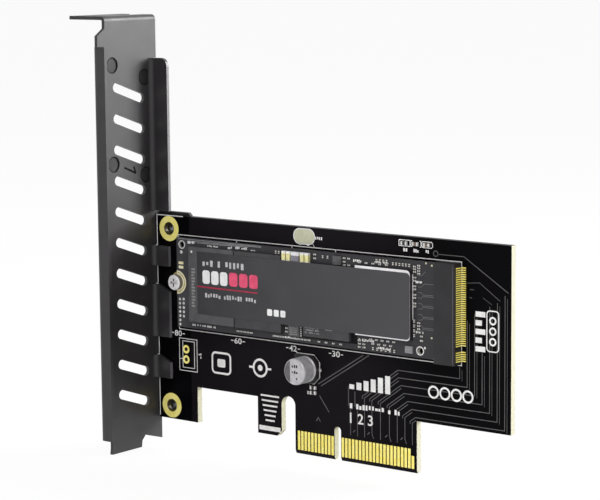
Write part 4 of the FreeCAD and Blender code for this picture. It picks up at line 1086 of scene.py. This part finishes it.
    def left_figures(self) -> list[Shape]:
        """Plain figures left of the capacitor: a framed badge, a target, a stack and a bar."""
        badge = [self.strip(rounded((-38.2, 16.7, -32.5, 21.7), 1.0), 0.5, True),
                 prism(rounded((-36.6, 18.2, -34.1, 20.2), 0.4), self.ink)]
        middle, height = -23.2, 19.4
        target = [ring((middle, height), 1.75, 2.3, self.ink),
                  ring((middle, height), 0.01, 0.75, self.ink, 24),
                  self.strip([(-26.6, height), (-25.5, height)], 0.5),
                  self.strip([(-20.9, height), (-19.8, height)], 0.5)]
        stack = [self.strip([(-23.1 + 0.28 * i, z), (-17.5 - 0.28 * i, z)], 0.42)
                 for i, z in enumerate((12.9, 11.7, 10.5, 9.3, 8.1, 6.9))]
        return badge + target + stack + [bar(-23.6, 4.4, -17.15, 5.5, self.ink)]

    def right_figures(self) -> list[Shape]:
        """Plain figures right of the capacitor, up the right end and along the bracket's edge."""
        steps = [bar(3.5 + 2.05 * i, 17.5, 4.9 + 2.05 * i, 18.6 + 0.62 * i, self.ink)
                 for i in range(6)]
        lines = [self.mark((3.6, 12.9, 18.2, 14.1), 31, 0.7),
                 numerals("1 2 3", (3.6, 9.4, 10.2, 11.9), self.ink)]
        chain = [ring((27.2 + 3.1 * i, 19.5), 1.05, 1.5, self.ink) for i in range(4)]
        upright = [bar(38.5, 30.1 + 1.95 * i, 41.1 - 0.9 * (i % 2), 31.3 + 1.95 * i, self.ink)
                   for i in range(5)]
        framed = [self.strip(rounded((41.5, 30.4, 44.6, 39.5), 0.8), 0.26, True)]
        framed += [ring((43.05, 32.6 + 2.35 * i), 0.55, 0.95, self.ink, 24) for i in range(3)]
        # a thin white line along the board's left and top edges by the bracket
        edge = [self.strip([(-55.48, 4.0), (-55.48, 54.28), (-47.0, 54.28)])]
        return steps + lines + chain + upright + framed + edge


@dataclass
class BoardCopper:
    """The long board's copper: masked lines, plated holes and contacts, and soldered parts."""

    level: float = field(init=False)
    copper: float = 0.012
    thin_line: float = 0.16
    run_starts: tuple[float, ...] = (26.0, 36.8, 38.5, 29.8, 40.4, 41.4, 43.2)
    run_bends: tuple[float, ...] = (17.3, 17.5, 18.1, 19.0, 20.05, 21.1, 22.2)
    run_drops: tuple[float, ...] = (7.82, 9.95, 12.36, 14.9, 17.12, 19.27, 21.34)
    run_right: float = 34.3
    run_height: float = 23.4
    run_width: float = 0.17
    run_gap: float = 0.62
    run_below: float = 0.65
    run_beside: float = 0.15
    run_foot: float = 6.5
    run_pitch: float = 1.99
    run_step: float = 1.73
    slant: float = 0.72
    part_end: float = 0.26
    proud: float = 0.015

    def build(self) -> None:
        """Dresses the board's metal and small parts, and adds its copper lines and solder."""
        self.level = Extent.of("adapter_board").front
        dress(Stuff.HEADER_GOLD, "header_hole_plating")
        dress(Stuff.RING_GOLD, "mounting_hole_plating", "spare_hole_plating")
        dress(Stuff.CONTACT, "edge_contacts_front", "edge_contacts_back")
        dress(Stuff.RESISTOR, "board_resistors")
        dress(Stuff.TAN, "board_capacitors")
        self.long_runs()
        self.tab_runs()
        parts = ("board_resistors", "board_capacitors")
        piece("board_part_ends", Stuff.SOLDER, 0,
              [end_caps(node, self.part_end, self.proud) for node in parts])
        self.back_runs()

    def trace(self, path: Path, width: float) -> Shape:
        """A copper line under the mask along a path."""
        return ribbon(path, width, self.copper)

    def long_runs(self) -> None:
        """Pairs of lines that run from the module connector, under the module, to the edge tab.

        Each pair is nested in the one before: it comes down at its own place on the right, turns
        left, slants down and drops straight to its contact. The pair's second line shows beside
        the first where it comes down and where it slants.
        """
        gap, width, below = self.run_gap, self.run_width, self.run_below
        runs = []
        for i, (start, bend, drop) in enumerate(zip(self.run_starts, self.run_bends,
                                                    self.run_drops)):
            right, run = self.run_right + self.run_pitch * i, self.run_height - self.run_step * i
            left, beside = drop - gap, bend + self.run_beside
            land = run - self.slant * (bend - left)
            low = run - below - self.slant * (beside - drop)
            foot = (drop + 0.45 * (i % 2), self.run_foot)
            runs += [self.trace([(right, start), (right, run), (bend, run), (left, land),
                                 (left, land - 0.6)], width),
                     self.trace([(right + gap, start - 0.6), (right + gap, run - 0.5)], 0.1),
                     self.trace([(beside, run - below), (drop, low), (drop, 7.6), foot], width)]
        for left, top, drop in ((3.22, 18.0, 3.77), (5.07, 17.0, 5.77)):
            runs += [self.trace([(left, top), (left, 13.4)], 0.2),
                     self.trace([(drop, 12.6), (drop, self.run_foot)], self.thin_line)]
        runs += [self.trace([(28.4, 51.0), (35.4, 51.0), (47.1, 43.85)], 0.18),
                 self.trace([(36.3, 45.2), (39.55, 45.5), (44.95, 41.9)], 0.14),
                 ring((27.8, 51.1), 0.5, 0.72, self.copper, 20)]
        piece("long_copper_runs", Stuff.COPPER_LINE, self.level, runs)

    def tab_runs(self) -> None:
        """The slanted pair under the capacitor, short lines at the tab and dashes above them."""
        runs = [self.trace([(-5.64, 17.54), (7.5, 25.8)], 0.2),
                self.trace([(-4.84, 17.16), (9.2, 25.98)], 0.2)]
        runs += [self.trace([(x, 7.3), (x + 0.6, 7.9)], 0.2) for x in (4.5, 8.65, 13.7, 18.05)]
        runs += [self.trace([(40.45, 42.25), (42.8, 40.9)], 0.1),
                 self.trace([(37.0, 43.82), (38.05, 43.8)], self.thin_line),
                 self.trace([(36.85, 41.97), (37.55, 41.96)], 0.14)]
        piece("tab_copper_runs", Stuff.COPPER_LINE, self.level, runs)
        piece("sense_line_ink", Stuff.MODULE_LINE, self.level,
              [self.trace([(-5.3, 14.8), (-2.5, 11.15)], 0.14),
               self.trace([(-6.3, 8.6), (-5.72, 9.5), (-5.1, 8.6)], 0.12)])

    def back_runs(self) -> None:
        """Seven nested copper lines on the back, which come down, turn in, slant and drop."""
        runs = [self.trace([(-34.4 - 1.7 * i, 40 - i), (-34.4 - 1.7 * i, 20 - i), (-19 - i, 20 - i),
                            (-15.6 - 0.6 * i, 16.6 - 0.6 * i), (-15.6 - 0.6 * i, 6.2)],
                           self.thin_line) for i in range(7)]
        piece("back_copper_runs", Stuff.COPPER_LINE, Extent.of("adapter_board").high.y, runs,
              Side.BACK)


# ---------------------------------------------------------------- the bracket

@dataclass
class SlotBracket:
    """The painted steel bracket: painted shade in its stamped marks, and the threads in its two
    lugs.
    """

    lug_back: float = field(init=False)
    inside: float = -55.9
    strokes: tuple[Path, ...] = (((-11.84, 66.75), (-7.7, 65.04)),
                                 ((-8.42, 66.75), (-7.84, 65.2)))
    stroke_width: float = 0.5
    paint: float = 0.02
    mark_depth: float = 0.25
    mark_radius: float = 1.9
    rim_in: float = 0.12
    rim_out: float = 0.06
    rim_height: float = 0.015
    facets: int = 40
    marks: tuple[Spot, ...] = ((-15.41, 91.56), (-4.09, 88.24), (-15.41, 67.76), (-4.09, 64.44))
    hole_radius: float = 1.25
    thread_pitch: float = 0.5
    thread_depth: float = 0.14
    thread_half: float = 0.189
    screw_x: float = -51.55
    screw_heights: Span = (6.85, 51.05)
    lug_front: float = -0.85

    def build(self) -> None:
        """Dresses the bracket, and adds its strokes, rims and mark floors, all dark as painted
        shade, and its threads.
        """
        dress(Stuff.PAINT, "bracket")
        self.lug_back = -Extent.of("bracket").high.y
        # the numeral's strokes and the rims round the marks are painted shade
        strokes = [ribbon(path, self.stroke_width, self.paint) for path in self.strokes]
        radius = self.mark_radius
        rims = [ring(spot, radius - self.rim_in, radius + self.rim_out, self.rim_height,
                     self.facets) for spot in self.marks]
        piece("numeral_and_rim_shade", Stuff.STAMP_SHADE, self.inside, strokes + rims, Side.BRACKET_INSIDE)
        # the marks' floors are painted darker as shade in the recesses
        floor = [(radius - 0.01, 0), (radius - 0.01, self.paint)]
        piece("mark_floor_shade", Stuff.MARK_FLOOR_SHADE, self.inside - self.mark_depth,
              [turned(floor, spot, self.facets) for spot in self.marks], Side.BRACKET_INSIDE)
        piece("lug_threads", Stuff.PAINT, 0, [self.thread(height) for height in self.screw_heights],
              smooth=40)

    def thread(self, height: float) -> Shape:
        """A screw thread inside one lug's hole.

        The ridge is a triangle carried round a helix: the angle goes round once for each pitch
        while the depth falls from one face of the lug to the other. The ridge fades at its ends.

        Args:
            height: how high the hole's middle is.

        Returns:
            The ridge.
        """
        turns = (self.lug_front - self.lug_back) / self.thread_pitch
        angle = np.linspace(0, math.tau * turns, round(24 * turns) + 1)[:, None]
        fade = np.clip(np.minimum(angle, angle[-1] - angle) / 0.6, 0.15, 1)
        radius = self.hole_radius - np.array((0.0, self.thread_depth, 0.0)) * fade
        out = (self.lug_front - self.thread_pitch * angle / math.tau
               + np.array((self.thread_half, 0.0, -self.thread_half)) * fade)
        grid = np.stack((self.screw_x + np.cos(angle) * radius, height + np.sin(angle) * radius,
                         out), 2)
        end = 3 * len(grid) - 1
        faces = skin(grid, False, True) + [[0, 1, 2], [end, end - 1, end - 2]]
        return Shape(grid.reshape(-1, 3), faces)


# ---------------------------------------------------------------- the connector

@dataclass
class EdgeSocket:
    """The module's socket: its moulding and its two rows of spring contacts."""

    fillet: float = 0.16
    foot: float = 0.12
    film: float = 0.012
    bend: float = 0.3
    glint_width: float = 0.09
    glint_height: float = 0.006

    def build(self) -> None:
        """Dresses the socket, and adds the solder and the glints at its feet."""
        dress(Stuff.HOUSING, "m2_connector_housing")
        dress(Stuff.CONTACT, "m2_contacts_upper", "m2_contacts_lower")
        housing = Extent.of("m2_connector_housing")
        lows, highs = islands("m2_contacts_upper")
        toe, bend = highs[:, 0], np.full(len(lows), housing.high.x + 0.08)
        feet = lows[:, 2], highs[:, 2]
        self.bands("socket_solder", Stuff.CONTACT, (toe - 0.02, toe + self.fillet), feet, self.foot)
        # pale bands across the contacts' bends, a painted highlight
        self.bands("contact_bend_glints", Stuff.PALE_GOLD_AND_GLINT, (bend, bend + self.bend),
                   (feet[0] - 0.01, feet[1] + 0.01), self.foot + self.film)
        edge = housing.high.x - 0.32
        path = [(edge, housing.low.z + 0.5), (edge, housing.high.z - 0.5)]
        piece("socket_edge_glint", Stuff.SOCKET_GLINT, housing.front,
              [ribbon(path, self.glint_width, self.glint_height)])

    def bands(self, name: str, finish: Finish, reach: tuple[np.ndarray, np.ndarray],
              feet: tuple[np.ndarray, np.ndarray], high: float) -> None:
        """A block across each foot that stands out of the moulding, on the adapter board.

        Args:
            name: the piece's name.
            finish: its finish.
            reach: where each block starts and ends along the board.
            feet: how low and how high each block lies.
            high: how far the blocks stand out of the board.
        """
        board = np.full(len(feet[0]), Extent.of("adapter_board").front)
        piece(name, finish, 0, [blocks(np.stack((reach[0], feet[0], board), 1),
                                       np.stack((reach[1], feet[1], board + high), 1))])


# ---------------------------------------------------------------- the module

@dataclass
class ModuleBoard:
    """The storage module's board: its gold, its print, its copper lines and its small parts."""

    level: float = field(init=False)
    ink: float = 0.012
    dot_columns: tuple[tuple[float, float, float, int], ...] = (
        (-46.4, 34.3, 28.1, 7), (-45.2, 34.4, 30.2, 5))
    dot_radius: float = 0.36
    dot_height: float = 0.12
    pad_reach: Span = (-46.6, -45.1)
    pad_heights: Span = (43.26, 42.22)
    pad_half: float = 0.34
    vias: tuple[Spot, ...] = ((28.3, 32.3), (26.8, 49.1), (28.35, 48.69))
    notch: Spot = (-47.2, 38.45)
    groove_radius: float = 2.42
    groove_sweep: float = 84.0
    groove_width: float = 0.16
    rim_inside: float = 0.82
    traces: int = 9
    trace_foot: float = 33.6
    trace_pitch: float = 1.25
    trace_jog: float = 0.8
    trace_width: float = 0.1
    marks: tuple[Box, ...] = (
        (-43.6, 48.2, -41.3, 48.85), (-37.3, 47.9, -33.9, 48.3), (-42.4, 28.1, -35.0, 28.6),
        (-14.0, 28.0, -9.6, 28.5), (6.5, 47.8, 9.0, 48.4), (12.2, 48.0, 16.5, 48.5),
        (8.0, 29.6, 12.5, 30.2), (13.5, 28.2, 17.2, 28.8), (24.0, 33.0, 26.2, 33.5),
        (24.0, 44.4, 25.8, 44.9), (-30.9, 47.85, -29.5, 48.5), (-28.5, 48.0, -24.8, 48.6),
        (-23.8, 47.95, -22.4, 48.3))
    strip_width: float = 0.15
    proud: float = 0.015
    coil_cap: float = 0.8

    def build(self) -> None:
        """Dresses the board and its small parts, and adds its gold, print and solder."""
        self.level = Extent.of("ssd_board").front
        dress(Stuff.MODULE, "ssd_board")
        dress(Stuff.CONTACT, "ssd_edge_contacts")
        dress(Stuff.PALE_GOLD_AND_GLINT, "ssd_end_ring")
        dress(Stuff.FERRITE, "ssd_inductor")
        dress(Stuff.CRYSTAL, "ssd_oscillator")
        dress(Stuff.CREAM, "ssd_tall_capacitors")
        dress(Stuff.TAN, "ssd_small_parts")
        self.gold_and_holes()
        self.module_print()
        self.strip_lines()
        piece("module_part_ends", Stuff.SOLDER, 0, [end_caps("ssd_small_parts", 0.3, 0.012)])
        self.tall_part_ends()

    def gold_and_holes(self) -> None:
        """Solder dots, test pads, plated holes, the end ring's groove and the tooling rims."""
        dots = [dome((x, z), self.dot_radius, self.dot_height)
                for x, top, bottom, count in self.dot_columns
                for z in np.linspace(top, bottom, count)]
        dots += [dome((-45.76, 45.94), 0.42, 0.1), dome((26.46, 29.85), 0.3, 0.08)]
        piece("module_solder_dots", Stuff.SOLDER, self.level, dots, smooth=60)
        left, right = self.pad_reach
        pads = [prism(rounded((left, z - self.pad_half, right, z + self.pad_half), 0.12, 3), 0.03)
                for z in self.pad_heights]
        vias = [ring(spot, 0.1, 0.22, 0.02, 16) for spot in self.vias]
        piece("module_gold_pads", Stuff.PALE_GOLD_AND_GLINT, self.level, pads + vias)
        groove = arc(self.notch, self.groove_radius, -self.groove_sweep, self.groove_sweep, 24)
        piece("end_ring_groove", Stuff.RING_GROOVE, Extent.of("ssd_end_ring").front,
              [ribbon(groove, self.groove_width, 0.01)])
        piece("module_hole_rims", Stuff.MODULE_INK_AND_HIGHLIGHT, self.level,
              [ring((-45.5, 47.8), self.rim_inside, 1.02, self.ink),
               ring((25.15, 29.06), self.rim_inside, 1.05, self.ink)])

    def module_print(self) -> None:
        """Short marks of ink beside the module's parts, and the copper lines by its contacts."""
        marks = [word_blocks(box, 41 + i, self.ink, 0.7) for i, box in enumerate(self.marks)]
        piece("module_print_ink", Stuff.MODULE_INK_AND_HIGHLIGHT, self.level, marks)
        paths = [[(24.4, 46.2), (25.6, 46.2), (26.6, 47.2)]]
        for i in range(self.traces):
            z = self.trace_foot + self.trace_pitch * i
            end = z + self.trace_jog * (-1) ** i
            paths.append([(24.6, z), (25.5, z), (26.3, end), (29.2, end)])
        piece("module_copper_lines", Stuff.MODULE_LINE, self.level,
              [ribbon(path, self.trace_width, self.ink) for path in paths])

    def strip_lines(self) -> None:
        """Bright copper lines along the module's upper edge, each with a jog but the first."""
        top = Extent.of("ssd_board").high.z
        paths = [[(-46.6, top - 0.2), (-20.6, top - 0.2)]]
        paths += [[(left, top - low), (bend - 0.2, top - low), (bend, top - low + 0.1),
                   (right, top - low + 0.1)]
                  for left, bend, right, low in ((-43.4, -32.0, -20.6, 0.56),
                                                 (-40.6, -31.4, -24.6, 0.84))]
        piece("module_strip_lines", Stuff.BRIGHT_LINE, self.level,
              [ribbon(path, self.strip_width, self.ink) for path in paths])

    def tall_part_ends(self) -> None:
        """White ends on the tall capacitors, and the pale cap of the coil beside them."""
        piece("tall_capacitor_ends", Stuff.LABEL_WHITE, 0,
              [end_caps("ssd_tall_capacitors", 0.17, self.proud)])
        coil = Extent.of("ssd_inductor")
        low = (coil.low.x - self.proud, coil.high.z - self.coil_cap, -coil.high.y)
        high = (coil.high.x + self.proud, coil.high.z + self.proud, coil.front + self.proud)
        piece("coil_cap", Stuff.FERRITE_CAP, 0, [blocks(low, high)])


@dataclass
class ModulePackages:
    """The storage module's packages, the dark strips painted as shade between them, and the label
    over them.
    """

    level: float = field(init=False)
    label: Extent = field(init=False)
    ink: float = 0.012
    thin_ink: float = 0.004
    column: int = 13
    column_foot: float = 33.0
    column_pitch: float = 0.75
    column_mark: float = 0.45
    row_pitch: float = 0.62
    step_width: float = 3.3
    step_overlap: float = 1.0
    fill: float = 0.012
    shade_overlap: float = 0.5
    shade_foot: float = 0.28
    rungs: int = 5
    rung_pitch: float = 0.5
    rung: Triple = (0.34, 0.26, 0.3)
    white_bars: Box = (-38.05, 39.0, -35.75, 42.3)
    corner_bars: Box = (-18.1, 33.1, -16.6, 34.7)
    red_bars: Box = (-29.7, 39.1, -27.1, 42.4)
    red_line: Box = (-39.7, 38.0, -21.0, 38.35)

    def build(self) -> None:
        """Dresses the packages and the label, and adds their marks, painted shade and solder."""
        self.level = Extent.of("ssd_board").front
        self.label = Extent.of("ssd_label")
        dress(Stuff.PALE_CHIP, "ssd_memory_left")
        dress(Stuff.CHIP, "ssd_memory_right", "ssd_buffer_memory")
        dress(Stuff.CARRIER, "ssd_controller_base")
        dress(Stuff.LID, "ssd_controller_lid")
        dress(Stuff.DARK_CHIP, "ssd_power_chip", "ssd_regulator")
        dress(Stuff.LABEL, "ssd_label")
        self.memory_marks()
        self.buffer_package()
        self.shade_strips()
        self.power_chip()
        self.label_print()
        self.carrier_edge_highlight()

    def memory_marks(self) -> None:
        """A column of faint marks and a corner dot where the label leaves the memory bare."""
        memory = Extent.of("ssd_memory_left")
        left, marks = memory.low.x, []
        for i in range(self.column):
            foot = self.column_foot + self.column_pitch * i
            marks.append(bar(left + 0.9, foot, left + 2.0 - 0.3 * (i % 3 == 1),
                             foot + self.column_mark, self.thin_ink))
        piece("memory_marks", Stuff.FAINT_INK, memory.front, marks)
        piece("memory_corner_mark", Stuff.MODULE_INK_AND_HIGHLIGHT, memory.front,
              [dome((left + 1.0, memory.high.z - 1.2), 0.32, 0.03, -0.01)])

    def buffer_package(self) -> None:
        """The step at the left of the buffer's package, under the label, and its faint marks."""
        package = Extent.of("ssd_buffer_memory")
        piece("buffer_step", Stuff.CHIP, self.level,
              [bar(package.low.x - self.step_width, package.low.z, package.low.x,
                   self.label.low.z + self.step_overlap, package.front - self.level - 0.005)])
        rows = [word_blocks((-6.9, 30.05 + self.row_pitch * i, -2.7, 30.43 + self.row_pitch * i),
                            60 + i, self.thin_ink) for i in range(3)]
        piece("buffer_marks", Stuff.FAINT_INK, package.front,
              rows + [bar(-1.0, 31.3, 1.1, 31.45, self.thin_ink)])

    def shade_strips(self) -> None:
        """Painted shade: dark strips in the gaps between the packages and along the memories' lower
        edges.
        """
        package, power = Extent.of("ssd_buffer_memory"), Extent.of("ssd_power_chip")
        carrier = Extent.of("ssd_controller_base")
        start, top = power.high.x + 0.1, self.label.low.z + self.shade_overlap
        bottom = package.low.z - self.shade_overlap
        # painted shade in the gaps and under the packages
        resin = [bar(package.high.x, bottom, carrier.low.x - 0.15, top, self.fill),
                 bar(start, bottom, package.high.x, package.low.z, self.fill),
                 bar(start, package.low.z, package.low.x - self.step_width, top, self.fill)]
        resin += [bar(chip.low.x, chip.low.z - self.shade_foot, chip.high.x, chip.low.z, self.fill)
                  for chip in (Extent.of("ssd_memory_left"), Extent.of("ssd_memory_right"))]
        piece("package_shade_strips", Stuff.PACKAGE_SHADE, self.level, resin)

    def power_chip(self) -> None:
        """The row of solder at the power chip's right side, and the faint marks on its top."""
        chip = Extent.of("ssd_power_chip")
        heights = chip.low.z + 0.1 + self.rung_pitch * np.arange(self.rungs)
        low = np.stack((np.full(self.rungs, chip.high.x + 0.12), heights, np.zeros(self.rungs)), 1)
        piece("power_chip_rungs", Stuff.SOLDER, self.level, [blocks(low, low + self.rung)])
        rows = [word_blocks((chip.low.x + 0.4, chip.low.z + 0.35 + self.rung_pitch * i,
                             chip.high.x - 0.4, chip.low.z + 0.62 + self.rung_pitch * i), 70 + i,
                            self.thin_ink) for i in range(4)]
        piece("power_chip_marks", Stuff.FAINT_INK, chip.front, rows)

    def label_print(self) -> None:
        """Plain bars in the label's print places: white, grey and red."""
        front = self.label.front
        small = [word_blocks((-38.0, 43.3, -24.8, 44.8), 81, self.ink),
                 word_blocks((-37.3, 35.7, -21.2, 36.8), 82, self.ink)]
        piece("label_small_bars", Stuff.LABEL_GREY, front, small)
        white = self.round_bars(self.white_bars, 2.75, 0.7)
        piece("label_white_bars", Stuff.LABEL_WHITE, front,
              white + self.round_bars(self.corner_bars, 2.0, 0.3))
        piece("label_red_bars", Stuff.LABEL_RED, front, self.round_bars(self.red_bars, 3.1, 0.7))
        piece("label_red_line", Stuff.LABEL_LINE, front, [bar(*self.red_line, self.ink)])

    def round_bars(self, box: Box, pitch: float, radius: float) -> list[Shape]:
        """Three equal bars with round corners, side by side.

        Args:
            box: the left, bottom, right and top of the first.
            pitch: how far it is from one to the next.
            radius: the radius of the corners.

        Returns:
            The bars.
        """
        left, bottom, right, top = box
        return [prism(rounded((left + pitch * i, bottom, right + pitch * i, top), radius),
                      self.ink) for i in range(3)]

    def carrier_edge_highlight(self) -> None:
        """The painted highlight along the right side of the carrier under the lid."""
        right = Extent.of("ssd_controller_base").high.x
        piece("carrier_edge_highlight", Stuff.MODULE_INK_AND_HIGHLIGHT, self.level,
              [bar(right + 0.05, 36.0, right + 0.2, 46.3, 0.05)])


# ---------------------------------------------------------------- the module's fastening

@dataclass
class ModuleFastening:
    """The standoff on the adapter board and the screw that holds the module's end."""

    def build(self) -> None:
        """Dresses the standoff and the screw."""
        dress(Stuff.BRASS, "ssd_standoff")
        dress(Stuff.SCREW, "ssd_screw")


# ---------------------------------------------------------------- the capacitor

@dataclass
class CanCapacitor:
    """The aluminium can capacitor: its polarity mark and the bars printed on its top."""

    rim: float = 0.35
    segment_share: float = 0.42
    ink: float = 0.012
    row_heights: Triple = (1.0, -0.4, -1.8)
    row_height: float = 0.7

    def build(self) -> None:
        """Dresses the capacitor's nodes and prints its top."""
        dress(Stuff.CAN, "capacitor_can")
        dress(Stuff.BASE, "capacitor_base")
        dress(Stuff.SOLDER, "capacitor_leads")
        can = Extent.of("capacitor_can")
        x, z = can.middle.x, can.middle.z
        radius = (can.high.x - can.low.x) / 2 - self.rim
        reach = math.degrees(math.acos(self.segment_share))
        piece("capacitor_polarity_mark", Stuff.CAN_DARK, can.front,
              [prism(arc((x, z), radius, 180 - reach, 180 + reach, 20), self.ink)])
        rows = [word_blocks((x - 0.7, z + low, x + 1.2, z + low + self.row_height), 90 + i,
                            self.ink, 0.7) for i, low in enumerate(self.row_heights)]
        piece("capacitor_top_bars", Stuff.CAN_INK, can.front, rows)


# ---------------------------------------------------------------- the studio

@dataclass
class Studio:
    """Camera, lamps, world and floor."""

    eye: Place = (305.13, -402.57, 119.37)
    yaw: float = 38.175
    pitch: float = 7.85
    roll: float = -0.509
    focal: float = 132.114
    film: float = 36.0
    aim: Place = (0, 0, 0.04)
    floor_reach: float = 12.0
    floor_gap: float = 0.0001
    floor_tone: float = 0.86
    floor_glow: float = 0.93
    ambient: float = 0.42
    front_glow: float = 0.2
    back_glow: float = 1.0
    backdrop: Span = (-0.2, 0.5)

    def build(self) -> None:
        """Sets up the view and the light: four soft boxes, the world and the floor."""
        bpy.context.scene.view_settings.view_transform = "Standard"
        self.camera()
        self.world()
        self.lamp("key_box", (0.35, -0.75, 0.75), 0.8, 6.0)
        self.lamp("left_box", (-0.75, -0.35, 0.6), 0.7, 2.6)
        self.lamp("back_box", (0.45, 0.55, 0.55), 0.6, 3.3)
        self.lamp("bracket_box", (0.28, 0.36, 0.23), 0.26, 3.2)
        self.floor()

    def camera(self) -> None:
        """A long lens that looks at the card from its front right, a little above."""
        yaw, pitch, roll = (math.radians(a) for a in (self.yaw, self.pitch, self.roll))
        ahead = Vector((-math.sin(yaw) * math.cos(pitch), math.cos(yaw) * math.cos(pitch),
                        -math.sin(pitch)))
        level = Vector((math.cos(yaw), math.sin(yaw), 0))
        up = level.cross(ahead)
        right = level * math.cos(roll) + up * math.sin(roll)
        top = up * math.cos(roll) - level * math.sin(roll)
        lens = bpy.data.cameras.new("card_camera")
        lens.sensor_width = self.film
        lens.lens = self.focal
        lens.clip_start = 0.01
        camera = placed("card_camera", lens)
        place = Matrix((right, top, -ahead)).transposed().to_4x4()
        place.translation = Vector(self.eye) * MM
        camera.matrix_world = place
        bpy.context.scene.camera = camera

    def world(self) -> None:
        """White behind the card, dim in front of it as reflections see it, and softer as light."""
        world = bpy.data.worlds.new("studio")
        bpy.context.scene.world = world
        world.use_nodes = True
        sky = Nodes(world.node_tree)
        rays = sky.add("LightPath").outputs
        backdrop = sky.span(sky.axis("Generated", "Y"), *self.backdrop, self.front_glow,
                            self.back_glow)
        light = sky.between(rays["Is Glossy Ray"], self.ambient, backdrop)
        seen = sky.math("MAXIMUM", rays["Is Camera Ray"], rays["Is Transmission Ray"])
        sky.feed(sky.tree.nodes["Background"],
                 {"Strength": sky.between(seen, light, 1.0), "Color": WHITE})

    def lamp(self, name: str, place: Place, size: float, power: float) -> None:
        """One square soft box that faces the card.

        Args:
            name: its name.
            place: where it is, in metres.
            size: its side, in metres.
            power: its power, in watts.
        """
        light = bpy.data.lights.new(name, "AREA")
        light.size = size
        light.energy = power
        box = placed(name, light)
        box.location = place
        heading = Vector(self.aim) - Vector(place)
        box.rotation_euler = heading.to_track_quat("-Z", "Y").to_euler()
        box.visible_camera = False

    def floor(self) -> None:
        """A wide pale floor just under the card, which takes its shadow."""
        reach, low = self.floor_reach, CAD_SIZE[0][2] - self.floor_gap
        mesh = bpy.data.meshes.new("studio_floor")
        mesh.from_pydata([(x, y, low) for x, y in corners(-reach, -reach, reach, reach)], [],
                         [(0, 1, 2, 3)])
        floor = placed("studio_floor", mesh)
        recipe = Recipe("pale_floor")
        recipe.feed(recipe.shader, {"Base Color": (*[self.floor_tone] * 3, 1), "Roughness": 0.9,
                                    "Specular IOR Level": 0.1})
        rays = recipe.add("LightPath").outputs
        seen = recipe.math("MAXIMUM", rays["Is Camera Ray"], rays["Is Glossy Ray"])
        glow = recipe.add("Emission", {"Color": WHITE})
        mix = recipe.add("MixShader", {"Fac": recipe.math("MULTIPLY", seen, self.floor_glow),
                                       1: recipe.shader.outputs["BSDF"],
                                       2: glow.outputs["Emission"]})
        recipe.feed(recipe.tree.nodes["Material Output"], {"Surface": mix.outputs["Shader"]})
        mesh.materials.append(recipe.material)


def main() -> None:
    """Builds the card's looks part by part, then the studio."""
    logging.basicConfig(level=logging.INFO, format="%(name)s: %(message)s")
    for part in (BoardPrint(), BoardCopper(), SlotBracket(), EdgeSocket(), ModuleBoard(),
                 ModulePackages(), ModuleFastening(), CanCapacitor(), Studio()):
        LOG.info("building %s", type(part).__name__)
        part.build()


if __name__ == "__main__":
    main()
